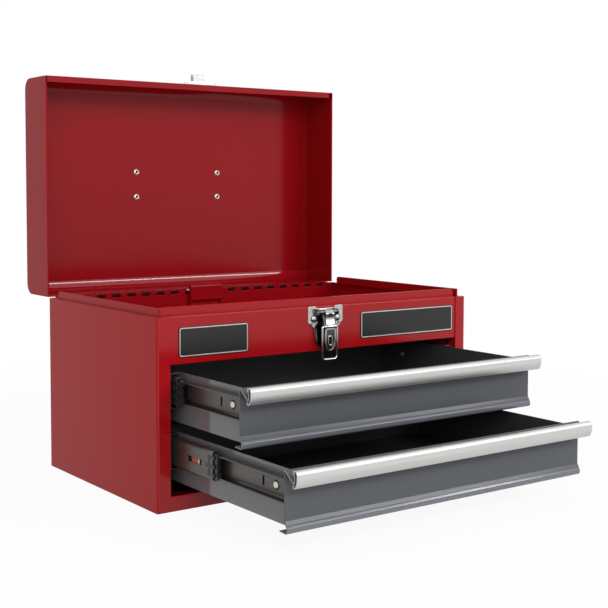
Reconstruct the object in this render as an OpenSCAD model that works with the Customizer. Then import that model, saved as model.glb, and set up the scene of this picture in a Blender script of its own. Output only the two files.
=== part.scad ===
// Portable tool box: hinged lid over an upper compartment, two drawers below.
// Origin: centre of the body's footprint, on the surface it stands on.
// +Z is up, the drawers open towards -Y, the hinge line runs along X.
// Drawn in the rest pose: lid open at a right angle, both drawers part way out.
// All sizes are in millimetres.

/* [Body] */
// Width over the side panels.
body_width = 405; // [320:1:520]
// Depth from the stiles to the back panel.
body_depth = 250; // [225:1:360]
// Thickness of every folded sheet.
sheet = 1; // [0.8:0.1:1.2]
// Outer radius of the folded front corners.
corner_radius = 2.5; // [1.5:0.5:4]
// Width of each front stile.
stile_width = 14.5; // [12:0.5:25]
// Height of the low rail under the drawers.
foot_height = 15.5; // [13:0.5:30]
// Height of the front rail over the drawers.
rail_height = 47.5; // [45:0.5:80]
// Height of the collar above the shoulder.
collar_height = 8.3; // [5:0.1:12]
// How far the side collars stand in from the side panels.
side_collar_inset = 5; // [4:0.5:8]
// How far the front collar stands in from the front plane.
front_collar_inset = 11; // [9:0.5:16]

/* [Lid] */
// Height of the lid over its rim.
lid_height = 58.5; // [50:0.5:90]
// Outer radius of the lid's long folded edges.
lid_radius = 13; // [6:0.5:18]
// Gap between the closed lid's rim and the shoulder.
rim_gap = 0.5; // [0.3:0.1:1]
// Width of the flange turned in along the rim of the lid's front wall.
rim_flange = 7; // [4:0.5:9]

/* [Hinge] */
// Radius of the hinge pin.
pin_radius = 1.4; // [1.2:0.1:1.6]
// Running clearance around each pivot.
pivot_clearance = 0.05; // [0.02:0.01:0.1]
// Outer radius of the hinge knuckles.
knuckle_radius = 2.4; // [2.2:0.1:2.4]
// Distance from one lid knuckle to the next.
knuckle_pitch = 19.6; // [16:0.1:30]
// Width of a lid knuckle.
knuckle_width = 10; // [6:0.5:12]
// Side gap beside each lid knuckle.
knuckle_gap = 0.6; // [0.3:0.1:1]
// Distance of the first lid knuckle from the middle.
first_knuckle = 40.7; // [38:0.1:60]

/* [Drawers] */
// Height of a drawer front from its lip to the top of its pull.
front_height = 59; // [50:0.5:90]
// Gap between the two drawer fronts.
front_gap = 1; // [1:0.5:4]
// Gap above the upper drawer front.
top_gap = 3.5; // [2:0.5:6]
// Gap between the low rail and the lower drawer front.
bottom_gap = 6.5; // [3:0.5:10]
// Side gap between a drawer front and a stile.
front_side_gap = 4; // [2:0.5:6]
// Depth of the finger groove in front of the panel.
groove_depth = 14.5; // [12:0.5:20]
// How far the upper drawer is pulled out.
upper_out = 118; // [115:1:200]
// How far the lower drawer is pulled out.
lower_out = 188; // [160:1:200]

/* [Slides] */
// Height of the cabinet rail.
slide_height = 35; // [34:0.5:45]
// Room between a drawer box and a cabinet rail's outer face.
slide_room = 13; // [12.8:0.1:16]
// Gap between a cabinet rail and the plane of the stile's edge.
rail_gap = 2.5; // [2:0.5:8]
// How far the upper middle rails are out.
upper_middle_out = 12; // [10:1:60]
// How far the lower middle rails are out.
lower_middle_out = 79; // [50:1:100]

/* [Handle and latch] */
// Distance of the handle brackets from the middle.
bracket_x = 58.5; // [45:0.5:80]
// Distance between the two rivets of a bracket.
bracket_pitch = 30.7; // [26:0.1:40]
// Radius of the handle's round bar.
bar_radius = 4; // [3:0.5:5]
// Reach of the handle from its pivot to its grip.
bail_reach = 52; // [45:1:70]
// Radius of the grip.
grip_radius = 8; // [7:0.5:10]
// Half the width of the latch plate.
latch_half = 22.9; // [20:0.1:26]
// Radius of the latch loop's wire.
wire_radius = 1.25; // [1:0.05:1.4]
// Length of the latch loop between its bars.
loop_length = 34.6; // [30:0.1:38]

/* [Hidden] */
$fn = 48;
eps = 0.01;

half_width = body_width / 2;
front_y = -body_depth / 2;
back_y = body_depth / 2;
half_opening = half_width - stile_width;
lower_top = foot_height + bottom_gap + front_height;
upper_top = lower_top + front_gap + front_height;
opening_top = upper_top + top_gap;
body_height = opening_top + rail_height;
collar_top = body_height + collar_height;
side_collar_x = half_width - side_collar_inset;
front_collar_y = front_y + front_collar_inset;
// The side collars start behind the closed lid's rim flange.
side_collar_front = front_y + rim_flange + 0.4;
// The front collar stops short of the side collars.
front_collar_half = side_collar_x - 3.5;
// The rail's sheet laps behind the stiles.
rail_half = side_collar_x - sheet - 0.5;
rail_y = front_y + sheet;
collar_corner = 4;
return_depth = 12;
lap = 10;

// Hinge line, behind the back panel and just under the shoulder.
hinge_y = back_y + 2.5;
hinge_z = body_height - 2;
bore_radius = pin_radius + pivot_clearance;
window_width = knuckle_width + 2 * knuckle_gap;
window_floor = hinge_z - knuckle_radius - 0.3;
// Lip outside each window, just clear of the lid's knuckle.
window_lip = 0.8;
window_lip_top = hinge_z - 0.15
    - sqrt(pow(knuckle_radius, 2) - pow(hinge_y - back_y - window_lip, 2));
knuckle_count = floor((half_width - 20 - first_knuckle) / knuckle_pitch) + 1;
window_xs = [for (k = [0 : knuckle_count - 1]) first_knuckle + k * knuckle_pitch];
body_knuckle_xs = [for (k = [0 : knuckle_count]) first_knuckle + (k - 0.5) * knuckle_pitch];
body_knuckle_width = knuckle_pitch - window_width;
pin_half = first_knuckle + (knuckle_count - 0.5) * knuckle_pitch
    + body_knuckle_width / 2 + 1;

// Lid, open at a right angle: its walls lie between these planes.
rim_y = hinge_y + body_height + rim_gap - hinge_z;
lid_back_z = hinge_y + hinge_z - back_y;
lid_front_z = lid_back_z + body_depth;
lid_top_y = rim_y + lid_height;
lid_inside_y = lid_top_y - sheet;
hem_width = 12;
flange_end_gap = 5;

// Stop bracket and the lid's stop tab.
tab_half = 20;
tab_reach = 10;
tab_radius = norm([tab_reach - (rim_y - hinge_y), lid_back_z + sheet - hinge_z]);
stop_half = tab_half + 2.3;
notch_half = tab_half + 0.7;
stop_plate_y = hinge_y - tab_radius - 0.4 - sheet;
stop_roll = 2.3;
stop_roll_y = stop_plate_y + stop_roll - 0.1;
stop_roll_z = lid_back_z + sheet + 0.5 + stop_roll;
notch_floor = hinge_z - tab_radius - 0.2;
stop_foot_z = notch_floor - 17;
stop_rivet_x = 14;
stop_rivet_z = stop_foot_z + 6;

// Slides, from the cabinet rail inwards.
rail_face_x = half_opening - rail_gap;
box_half = rail_face_x - slide_room;
rail_half_height = slide_height / 2;
middle_half_height = rail_half_height - 3.5;
inner_half_height = rail_half_height - 6.75;
cage_half_height = rail_half_height - 5.3;
cage_sheet = 0.7;
ball_radius = 1.1;
ball_z = (middle_half_height - sheet + inner_half_height) / 2;
rail_inner_x = rail_face_x - 9;
middle_face_x = rail_face_x - 2.1;
middle_inner_x = box_half + 3.1;
inner_reach_x = middle_face_x - sheet - 1.4;
cage_face_x = middle_face_x - sheet - 0.5;
rail_front_y = front_y + 5;
rail_length = body_depth - 18;
middle_front_y = front_y + 9;
middle_length = body_depth - 22;
middle_slot_start = 20;
middle_slot_end = 45;
middle_slot_half = 2.5;
inner_front_gap = 5;
inner_length = body_depth - 27;
cage_length = 96;
cage_nose = 6;
ball_count = 6;
ball_step = 15;
slot_back = 48;
slide_rivet_back = 28;
slide_rivet_step = 165;
slide_drop = 22.7;

// Posts that carry the slides.
post_half = 12;
post_foot = 8;
post_front_y = front_y + 32;
post_rear_y = back_y - 42;
post_bottom = 12.5;
post_top = opening_top - 5.5;

// Drawer box.
box_drop = 5.2;
box_height = front_height - 8.4;
box_length = body_depth - 16;
mat_thickness = 1.5;

// Drawer front, measured from the panel's front plane and the top of its pull.
flange_y = -groove_depth + sheet;
groove_z = -12.4;
ridge_z = -1.5;
front_half = half_opening - front_side_gap;
trim_half = front_half + 0.4;
trim_sheet = 0.8;
trim_front = -groove_depth - 4;

// Handle.
saddle_sheet = 1.5;
saddle_half = 9;
saddle_bore = bar_radius + 0.08;
bail_y = lid_top_y + bar_radius + 0.3;
bail_z = (lid_back_z + lid_front_z) / 2 + 3.2;
bail_lean = asin((grip_radius + 0.3 - (bail_y - lid_top_y)) / bail_reach);
elbow = 8;
arm_x = bracket_x + saddle_half + 0.5 + elbow;
grip_half = arm_x - elbow - 20;
handle_rivet = 1.9;

// Latch.
latch_z = body_height - 6;
latch_y = front_y - 4.5;
ear_x = 11.5;
ear_sheet = 1.2;
latch_pin = 1.5;
latch_bore = latch_pin + pivot_clearance;
lever_knuckle = 2.6;
lever_sheet = 1.2;
loop_z = latch_z - 15.35;
loop_y = latch_y - 3;
loop_half = 9.6;
loop_corner = 3.5;
wire_bore = wire_radius + pivot_clearance;
tube_radius = 2.4;
latch_rivet_x = 15.5;
latch_rivet_z = body_height - 13;
latch_rivet = 1.8;
keeper_half = latch_half;
hook_half = loop_half - wire_radius - 0.5;
keeper_sheet = 1.2;
hook_y = loop_z + loop_length - hinge_z + hinge_y - wire_radius - keeper_sheet - 0.2;
hook_front = rim_y + 3.5;
keeper_rivet_x = 16;
keeper_rivet_y = rim_y + 7;

// Name plates: left edge, lower edge, width and height on the front rail.
plate_sheet = 0.8;
left_plate_inset = 9.5;
left_plate_drop = 41;
right_plate_reach = 140;
right_plate_drop = 38.5;
left_plate = [-half_opening + left_plate_inset, body_height - left_plate_drop, 81, 30];
right_plate = [half_opening - right_plate_reach, body_height - right_plate_drop, 135, 29.5];

red = [0.57, 0.13, 0.13];
grey = [0.36, 0.36, 0.37];
black = [0.08, 0.08, 0.09];
silver = [0.78, 0.78, 0.77];
zinc = [0.3, 0.31, 0.33];

// Extrudes a shape drawn as (y, z) from x0 to x1.
module along_x(x0, x1) {
    translate([x0, 0, 0]) rotate([90, 0, 90]) linear_extrude(x1 - x0) children();
}

// Extrudes a shape drawn as (x, z) from y0 to y1.
module along_y(y0, y1) {
    translate([0, y1, 0]) rotate([90, 0, 0]) linear_extrude(y1 - y0) children();
}

// Extrudes a shape drawn as (x, y) from z0 to z1.
module along_z(z0, z1) {
    translate([0, 0, z0]) linear_extrude(z1 - z0) children();
}

// A box between two opposite corners.
module block(a, b) {
    translate(a) cube(b - a);
}

// A rectangle between two opposite corners.
module area(a, b) {
    translate(a) square(b - a);
}

// A round bar along X, from x0 to x1.
module rod_x(x0, x1, y, z, r) {
    translate([x0, y, z]) rotate([0, 90, 0]) cylinder(h = x1 - x0, r = r);
}

// A round bar along Y, from y0 to y1.
module rod_y(y0, y1, x, z, r) {
    translate([x, y1, z]) rotate([90, 0, 0]) cylinder(h = y1 - y0, r = r);
}

// A round bar along Z, from z0 to z1.
module rod_z(z0, z1, x, y, r) {
    translate([x, y, z0]) cylinder(h = z1 - z0, r = r);
}

// A rectangle with rounded corners.
module rounded_area(w, h, r) {
    area([0, r], [w, h - r]);
    area([r, 0], [w - r, h]);
    for (x = [r, w - r], y = [r, h - r]) translate([x, y]) circle(r);
}

function fold_side(a, b) = [-(b - a)[1], (b - a)[0]] / norm(b - a);
function fold_point(path, i, t) =
    i == 0 ? path[0] + t * fold_side(path[0], path[1])
    : i == len(path) - 1 ? path[i] + t * fold_side(path[i - 1], path[i])
    : let (a = fold_side(path[i - 1], path[i]), b = fold_side(path[i], path[i + 1]))
        path[i] + (a + b) * t / (1 + a * b);

// Section of a folded sheet: one face follows the path, the other lies t to its left.
module fold(path, t) {
    last = len(path) - 1;
    polygon(concat(path, [for (i = [last : -1 : 0]) fold_point(path, i, t)]));
}

// Mirrors a right-hand piece to the left when side is -1.
module hand(side) {
    if (side < 0) mirror([1, 0, 0]) children();
    else children();
}

// ---- Body ----

module side_panel() {
    inner = side_collar_x - sheet;
    difference() {
        union() {
            along_z(0, body_height) {
                area([half_width - sheet, front_y + corner_radius], [half_width, back_y]);
                area([half_opening, front_y],
                    [half_width - corner_radius, front_y + sheet]);
                translate([half_width - corner_radius, front_y + corner_radius])
                    intersection() {
                        difference() {
                            circle(corner_radius);
                            circle(corner_radius - sheet);
                        }
                        area([0, -corner_radius], [corner_radius, 0]);
                    }
            }
            // Edge of the stile, turned back beside the drawers.
            block([half_opening, front_y, foot_height],
                [half_opening + sheet, front_y + return_depth, opening_top - eps]);
            // Ledge under the lid's rim, and the side collar.
            block([inner, front_y + sheet, body_height - sheet],
                [half_width - sheet / 2, back_y - sheet, body_height]);
            along_x(inner, side_collar_x) {
                area([side_collar_front, body_height - sheet],
                    [back_y - 13, collar_top - collar_corner]);
                area([side_collar_front, body_height - sheet],
                    [back_y - 13 - collar_corner, collar_top]);
                translate([back_y - 13 - collar_corner, collar_top - collar_corner])
                    circle(collar_corner);
            }
        }
        // Mitre against the low rail.
        along_y(front_y - 1, front_y + sheet + eps)
            polygon([[half_width, -1], [half_width, 0], [half_opening - 1,
                foot_height * (stile_width + 1) / stile_width], [half_opening - 1, -1]]);
    }
}

module back_panel() color(red) {
    x1 = half_width - sheet;
    for (s = [-1, 1], x = window_xs) hand(s)
        block([x - window_width / 2, back_y - sheet / 2, window_floor - 2],
            [x + window_width / 2, back_y + window_lip, window_lip_top]);
    difference() {
        union() {
            block([-x1, back_y - sheet, 0], [x1, back_y, body_height]);
            for (s = [-1, 1]) hand(s)
                block([x1 - sheet, back_y - return_depth, 2 * sheet],
                    [x1, back_y - sheet / 2, body_height - 1.2 * sheet]);
            for (s = [-1, 1], x = body_knuckle_xs) hand(s)
                body_knuckle(x - body_knuckle_width / 2, x + body_knuckle_width / 2);
        }
        for (s = [-1, 1], x = window_xs) hand(s)
            block([x - window_width / 2, back_y - sheet - 1, window_floor],
                [x + window_width / 2, back_y + 1, body_height + 1]);
        block([-notch_half, back_y - sheet - 1, notch_floor],
            [notch_half, back_y + 1, body_height + 1]);
        rod_x(-pin_half, pin_half, hinge_y, hinge_z, bore_radius);
        for (s = [-1, 1])
            rod_y(back_y - 2, back_y + 1, s * stop_rivet_x, stop_rivet_z, 2);
    }
}

module body_knuckle(x0, x1) {
    rod_x(x0, x1, hinge_y, hinge_z, knuckle_radius);
    block([x0, back_y - sheet, hinge_z + knuckle_radius - sheet],
        [x1, hinge_y, hinge_z + knuckle_radius]);
}

module bottom_panel() color(red) {
    x1 = half_width - sheet;
    lip = half_width - corner_radius;
    lip_z = foot_height * corner_radius / stile_width;
    seam = 0.1;
    block([-x1, front_y + sheet, 0], [x1, back_y - sheet, sheet]);
    along_y(front_y, front_y + sheet)
        polygon([[-lip, 0], [-lip, lip_z - seam], [-half_opening + seam, foot_height],
            [half_opening - seam, foot_height], [lip, lip_z - seam], [lip, 0]]);
    block([-half_opening + seam, front_y, foot_height - sheet],
        [half_opening - seam, front_y + return_depth, foot_height]);
    for (s = [-1, 1]) hand(s)
        block([x1 - sheet, front_y + return_depth + 3, 0],
            [x1, back_y - return_depth - 3, post_bottom - 0.5]);
}

module front_rail() color(red) {
    difference() {
        union() {
            block([-rail_half, rail_y, opening_top],
                [rail_half, rail_y + sheet, body_height]);
            block([-half_opening, rail_y, opening_top],
                [half_opening, front_y + return_depth, opening_top + sheet]);
            block([-front_collar_half, rail_y, body_height - sheet],
                [front_collar_half, front_collar_y + sheet, body_height]);
            along_y(front_collar_y, front_collar_y + sheet) {
                area([-front_collar_half, body_height - sheet],
                    [front_collar_half, collar_top - collar_corner]);
                area([-front_collar_half + collar_corner, body_height - sheet],
                    [front_collar_half - collar_corner, collar_top]);
                for (s = [-1, 1])
                    translate([s * (front_collar_half - collar_corner),
                        collar_top - collar_corner]) circle(collar_corner);
            }
        }
        for (s = [-1, 1])
            rod_y(rail_y - 1, rail_y + 2, s * latch_rivet_x, latch_rivet_z, latch_rivet);
    }
}

module till_floor() color(red) {
    x1 = half_width - 2.2 * sheet;
    top = opening_top + 2 * sheet;
    block([-x1, rail_y + sheet, top - sheet], [x1, back_y - sheet, top]);
    for (s = [-1, 1]) hand(s)
        block([x1 - sheet, front_y + 20, post_top + 0.5], [x1, back_y - 20, top]);
    block([-x1 + lap, back_y - 2 * sheet, post_top + 0.5], [x1 - lap, back_y - sheet, top]);
}

module stop_bracket() color(red) {
    face = back_y - 2 * sheet;
    difference() {
        union() {
            along_x(-stop_half, stop_half)
                fold([[face, stop_foot_z], [face, stop_foot_z + 12],
                    [stop_plate_y, stop_foot_z + 16], [stop_plate_y, stop_roll_z]],
                    -sheet);
            rod_x(-stop_half, stop_half, stop_roll_y, stop_roll_z, stop_roll);
        }
        rod_x(-stop_half - 1, stop_half + 1, stop_roll_y, stop_roll_z, stop_roll - sheet);
        for (s = [-1, 1])
            rod_y(face - 1, face + 2, s * stop_rivet_x, stop_rivet_z, 2);
    }
}

module stop_rivets() color(silver) for (s = [-1, 1]) {
    rod_y(back_y - 2 * sheet - 1.2, back_y - 2 * sheet, s * stop_rivet_x, stop_rivet_z, 4);
    rod_y(back_y - 2 * sheet - 0.5, back_y + 0.5, s * stop_rivet_x, stop_rivet_z, 2);
    rod_y(back_y, back_y + 1, s * stop_rivet_x, stop_rivet_z, 3.2);
}

// Hat-shaped post between the side panel and the slides.
module post(y) color(red) {
    wall = half_width - sheet;
    difference() {
        translate([0, y]) along_z(post_bottom, post_top) {
            area([rail_face_x, -post_half], [rail_face_x + sheet, post_half]);
            for (s = [-1, 1]) {
                a = s < 0 ? -post_half : post_half - sheet;
                area([rail_face_x, a], [wall, a + sheet]);
                b = s < 0 ? -post_half - post_foot : post_half - sheet;
                area([wall - sheet, b], [wall, b + post_foot + sheet]);
            }
        }
        for (top = [lower_top, upper_top])
            rod_x(rail_face_x - 1, rail_face_x + 2, y, top - slide_drop, 2);
    }
}

module hinge_pin() color(silver) {
    rod_x(-pin_half, pin_half, hinge_y, hinge_z, pin_radius);
}

module name_plate(place) color(black) {
    translate([place[0], rail_y, place[1]]) rotate([90, 0, 0])
        linear_extrude(plate_sheet) rounded_area(place[2], place[3], 2);
}

// ---- Slides ----

module cabinet_rail(top) color(zinc) {
    z = top - slide_drop;
    h = rail_half_height;
    difference() {
        translate([0, 0, z]) along_y(rail_front_y, rail_front_y + rail_length)
            fold([[rail_inner_x, h - 2.2], [rail_inner_x, h], [rail_face_x - 1.5, h],
                [rail_face_x, h - 1.5], [rail_face_x, 1.5 - h], [rail_face_x - 1.5, -h],
                [rail_inner_x, -h], [rail_inner_x, 2.2 - h]], -sheet);
        for (y = [post_front_y, post_rear_y])
            rod_x(rail_face_x - 3, rail_face_x + 1, y, z, 2);
    }
}

module cabinet_rail_rivets() color(silver) {
    for (s = [-1, 1], top = [lower_top, upper_top], y = [post_front_y, post_rear_y])
        hand(s) {
            z = top - slide_drop;
            rod_x(rail_face_x - sheet - 0.45, rail_face_x - sheet, y, z, 3.5);
            rod_x(rail_face_x - sheet - 0.2, rail_face_x + sheet + 0.5, y, z, 2);
            rod_x(rail_face_x + sheet, rail_face_x + 2 * sheet, y, z, 3.2);
        }
}

module middle_rail(top, out) color(zinc) {
    z = top - slide_drop;
    h = middle_half_height;
    y = middle_front_y - out;
    difference() {
        translate([0, 0, z]) along_y(y, y + middle_length)
            fold([[middle_inner_x, h], [middle_face_x - 1.5, h], [middle_face_x, h - 1.5],
                [middle_face_x, 1.5 - h], [middle_face_x - 1.5, -h],
                [middle_inner_x, -h]], -sheet);
        block([middle_face_x - 3, y + middle_slot_start, z - middle_slot_half],
            [middle_face_x + 1, y + middle_slot_end, z + middle_slot_half]);
    }
}

module ball_cage(top, out) color(black) {
    z = top - slide_drop;
    h = cage_half_height;
    y = middle_front_y - out - cage_nose;
    translate([0, 0, z]) {
        along_y(y, y + cage_length)
            fold([[middle_inner_x + 0.2, h], [cage_face_x, h], [cage_face_x, -h],
                [middle_inner_x + 0.2, -h]], -cage_sheet);
        for (s = [-1, 1], k = [0 : ball_count - 1])
            translate([(middle_inner_x + cage_face_x) / 2, y + 12 + k * ball_step,
                s * ball_z]) ball();
    }
}

module ball() {
    rotate_extrude() intersection() {
        circle(ball_radius);
        area([0, -ball_radius], [ball_radius, ball_radius]);
    }
}

module drawer_rail(top, out) color(zinc) {
    z = top - slide_drop;
    h = inner_half_height;
    y = front_y - out;
    difference() {
        translate([0, 0, z])
            along_y(y + inner_front_gap, y + inner_front_gap + inner_length)
                fold([[inner_reach_x, h], [box_half + 2, h], [box_half, h - 2.2],
                    [box_half, 2.2 - h], [box_half + 2, -h], [inner_reach_x, -h]], sheet);
        for (k = [0, 1])
            rod_x(box_half - 1, box_half + 3, y + slide_rivet_back + k * slide_rivet_step,
                z, 2);
        block([box_half - 1, y + slot_back - 1.5, z - 4.5],
            [box_half + 3, y + slot_back + 1.5, z + 4.5]);
    }
}

module drawer_rivets(top, out) color(silver) {
    for (s = [-1, 1], k = [0, 1]) hand(s) {
        z = top - slide_drop;
        y = front_y - out + slide_rivet_back + k * slide_rivet_step;
        rod_x(box_half + sheet, box_half + sheet + 1.4, y, z, 3.6);
        rod_x(box_half - sheet - 0.4, box_half + sheet + 0.5, y, z, 2);
        rod_x(box_half - 2 * sheet, box_half - sheet, y, z, 3.2);
    }
}

// ---- Drawers ----

module drawer_front(top, out) color(grey) {
    drop = front_height;
    translate([0, front_y - out, top]) along_x(-front_half, front_half)
        fold([[flange_y, -1.7], [flange_y, groove_z], [sheet, ridge_z], [sheet, 8.2 - drop],
            [-2.2, 2 - drop], [8, 2.7 - drop]], -sheet);
}

module drawer_trim(top, out) color(silver) {
    hook = flange_y + 0.9;
    translate([0, front_y - out, top]) along_x(-trim_half, trim_half)
        fold([[hook, -4], [hook, -0.9], [trim_front + 1.4, -0.9], [trim_front, -2.3],
            [trim_front, -9], [trim_front + 1.2, -13], [trim_front + 3.4, -16],
            [trim_front + 6.6, -16]], trim_sheet);
}

module drawer_box(top, out) color(black) {
    y0 = front_y - out + sheet;
    z1 = top - box_drop;
    z0 = z1 - box_height;
    difference() {
        block([-box_half, y0, z0], [box_half, y0 + box_length, z1]);
        block([sheet - box_half, y0 + sheet, z0 + sheet],
            [box_half - sheet, y0 + box_length - sheet, z1 + 1]);
        for (s = [-1, 1], k = [0, 1]) hand(s)
            rod_x(box_half - 2, box_half + 1,
                y0 - sheet + slide_rivet_back + k * slide_rivet_step, top - slide_drop, 2);
    }
}

module drawer_mat(top, out) color(black) {
    y0 = front_y - out + 2 * sheet + 0.5;
    z0 = top - box_drop - box_height + sheet;
    x1 = box_half - 2 * sheet - 0.3;
    block([-x1, y0, z0], [x1, y0 + box_length - 2 * sheet - 1, z0 + mat_thickness]);
}

// ---- Lid ----

// Section of the lid, drawn in from its outer faces by the given inset.
module lid_section(inset) {
    r = lid_radius;
    c = lid_top_y - r;
    area([rim_y, lid_back_z + inset], [c, lid_front_z - inset]);
    area([rim_y, lid_back_z + r], [lid_top_y - inset, lid_front_z - r]);
    for (z = [lid_back_z + r, lid_front_z - r]) translate([c, z]) circle(r - inset);
}

module lid_shell() color(red) {
    x1 = half_width - sheet;
    difference() {
        union() {
            along_x(-x1, x1) difference() {
                lid_section(0);
                lid_section(sheet);
                area([rim_y - 1, lid_back_z + sheet], [rim_y + 1, lid_front_z - sheet]);
            }
            block([-x1 + sheet, rim_y, lid_front_z - rim_flange],
                [x1 - flange_end_gap, rim_y + sheet, lid_front_z - sheet / 2]);
            for (s = [-1, 1], x = window_xs) hand(s)
                lid_knuckle(x - knuckle_width / 2, x + knuckle_width / 2);
            for (s = [-1, 1]) hand(s)
                block([tab_half + 3, rim_y + 0.1, hinge_z + 0.6],
                    [pin_half, rim_y + sheet, lid_back_z + eps]);
            block([-tab_half, rim_y - tab_reach, lid_back_z],
                [tab_half, rim_y + sheet, lid_back_z + sheet]);
        }
        rod_x(-pin_half, pin_half, hinge_y, hinge_z, bore_radius);
        for (s = [-1, 1]) {
            for (k = [-1, 1])
                rod_y(lid_top_y - 3, lid_top_y + 1, s * bracket_x,
                    bail_z + k * bracket_pitch / 2, handle_rivet);
            rod_z(lid_front_z - 3, lid_front_z + 1, s * keeper_rivet_x, keeper_rivet_y,
                latch_rivet);
        }
    }
}

module lid_knuckle(x0, x1) {
    leg = hinge_y + knuckle_radius - sheet;
    rod_x(x0, x1, hinge_y, hinge_z, knuckle_radius);
    block([x0, leg, hinge_z], [x1, rim_y + eps, lid_back_z + sheet]);
}

module lid_end() {
    x1 = half_width - sheet;
    along_x(x1, half_width) lid_section(0);
    block([x1 - lap, lid_inside_y - sheet, lid_back_z + lid_radius],
        [x1 + sheet / 2, lid_inside_y, lid_front_z - lid_radius]);
    block([x1 - sheet * 0.8, rim_y, lid_back_z + 2 * sheet],
        [x1 + sheet / 2, rim_y + hem_width, lid_front_z - rim_flange - 1]);
}

module lid_keeper() color(silver) {
    z = lid_front_z;
    ear_y = rim_y + 0.4;
    difference() {
        union() {
            along_z(z, z + keeper_sheet)
                polygon([[-keeper_half, ear_y], [-keeper_half, ear_y + 4.6],
                    [3.4 - keeper_half, ear_y + 11], [-hook_half - 1, ear_y + 18],
                    [hook_half + 1, ear_y + 18], [keeper_half - 3.4, ear_y + 11],
                    [keeper_half, ear_y + 4.6], [keeper_half, ear_y]]);
            for (s = [-1, 1]) hand(s)
                block([keeper_half - 7, ear_y, z],
                    [keeper_half, ear_y + keeper_sheet, z + 4.2]);
            // Hook: a folded cover over the leg that the loop's foot pulls on.
            along_x(-hook_half, hook_half) {
                fold([[hook_front, z], [hook_front, z + 10], [hook_front + 2, z + 12.8],
                    [hook_y + 5.3, z + 14]], -keeper_sheet);
                area([hook_y, z], [hook_y + keeper_sheet, z + 12.8]);
            }
        }
        for (s = [-1, 1])
            rod_z(z - 1, z + 2, s * keeper_rivet_x, keeper_rivet_y, latch_rivet);
    }
}

module keeper_rivets() color(silver) for (s = [-1, 1]) {
    x = s * keeper_rivet_x;
    z = lid_front_z;
    rod_z(z + keeper_sheet, z + keeper_sheet + 1.2, x, keeper_rivet_y, 3.2);
    rod_z(z - sheet - 0.5, z + keeper_sheet + 0.5, x, keeper_rivet_y, latch_rivet);
    rod_z(z - sheet - 1, z - sheet, x, keeper_rivet_y, 2.8);
}

// Saddle bracket: a strap bent over the end of the handle's bar.
module handle_bracket() color(zinc) {
    outer = saddle_bore + saddle_sheet;
    foot = bracket_pitch / 2 + 6.5;
    difference() {
        along_x(bracket_x - saddle_half, bracket_x + saddle_half) {
            difference() {
                union() {
                    translate([bail_y, bail_z]) circle(outer);
                    area([lid_top_y, bail_z - outer], [bail_y, bail_z + outer]);
                    area([lid_top_y, bail_z - foot],
                        [lid_top_y + saddle_sheet, bail_z + foot]);
                }
                translate([bail_y, bail_z]) circle(saddle_bore);
                area([lid_top_y - 3, bail_z - saddle_bore], [bail_y, bail_z + saddle_bore]);
            }
        }
        for (k = [-1, 1])
            rod_y(lid_top_y - 1, lid_top_y + 3, bracket_x,
                bail_z + k * bracket_pitch / 2, handle_rivet);
    }
}

module handle_rivets() color(silver) for (s = [-1, 1], k = [-1, 1]) {
    x = s * bracket_x;
    z = bail_z + k * bracket_pitch / 2;
    difference() {
        union() {
            rod_y(lid_top_y + saddle_sheet, lid_top_y + saddle_sheet + 1.8, x, z, 4.5);
            rod_y(lid_inside_y - 0.5, lid_top_y + saddle_sheet + 0.5, x, z, handle_rivet);
            rod_y(lid_inside_y - 1.4, lid_inside_y, x, z, 4);
        }
        rod_y(lid_inside_y - 2, lid_inside_y + 1, x, z, 1.7);
    }
}

// Places a piece drawn flat, with the pivot along X at the origin, on the lid.
module on_bail() {
    translate([0, bail_y, bail_z]) rotate([90 + bail_lean, 0, 0]) children();
}

// A quarter bend of round bar about the origin, from +X towards +Y.
module quarter_bend(bend, r) {
    rotate_extrude(angle = 90) translate([bend, 0]) circle(r);
}

module handle_bail() color(zinc) on_bail() {
    r = bar_radius;
    for (s = [-1, 1]) hand(s) {
        rod_x(bracket_x - saddle_half - 1, arm_x - elbow, 0, 0, r);
        translate([arm_x - elbow, -elbow, 0]) quarter_bend(elbow, r);
        rod_y(-bail_reach + elbow, -elbow, arm_x, 0, r);
        translate([arm_x - elbow, elbow - bail_reach, 0]) rotate([0, 0, -90])
            quarter_bend(elbow, r);
    }
    rod_x(elbow - arm_x, arm_x - elbow, -bail_reach, 0, r);
}

module handle_grip() color(black) on_bail() difference() {
    rod_x(-grip_half, grip_half, -bail_reach, 0, grip_radius);
    rod_x(-grip_half - 1, grip_half + 1, -bail_reach, 0, bar_radius + eps);
}

// ---- Latch ----

module latch_plate() color(silver) {
    h = latch_half;
    z = body_height;
    difference() {
        union() {
            along_y(front_y, rail_y)
                polygon([[-h, z], [-ear_x - 1, z], [-ear_x + 0.5, z - 1],
                    [ear_x - 0.5, z - 1], [ear_x + 1, z], [h, z], [h, z - 16.5],
                    [h - 2.5, z - 19.5], [h - 8, z - 22], [13.6, z - 36], [11, z - 41],
                    [6, z - 45], [-6, z - 45], [-11, z - 41], [-13.6, z - 36],
                    [8 - h, z - 22], [2.5 - h, z - 19.5], [-h, z - 16.5]]);
            for (s = [-1, 1]) hand(s) along_x(ear_x, ear_x + ear_sheet) {
                area([latch_y, latch_z - 3.5], [front_y + sheet / 2, latch_z + 3.5]);
                translate([latch_y, latch_z]) circle(3.5);
            }
        }
        rod_x(-ear_x - 2, ear_x + 2, latch_y, latch_z, latch_pin);
        for (s = [-1, 1])
            rod_y(front_y - 1, front_y + 2, s * latch_rivet_x, latch_rivet_z, latch_rivet);
    }
}

module latch_rivets() color(silver) for (s = [-1, 1]) {
    x = s * latch_rivet_x;
    rod_y(front_y - 1.2, front_y, x, latch_rivet_z, 3.2);
    rod_y(front_y - 0.5, rail_y + sheet + 0.5, x, latch_rivet_z, latch_rivet);
    rod_y(rail_y + sheet, rail_y + sheet + 1, x, latch_rivet_z, 2.8);
}

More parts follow.
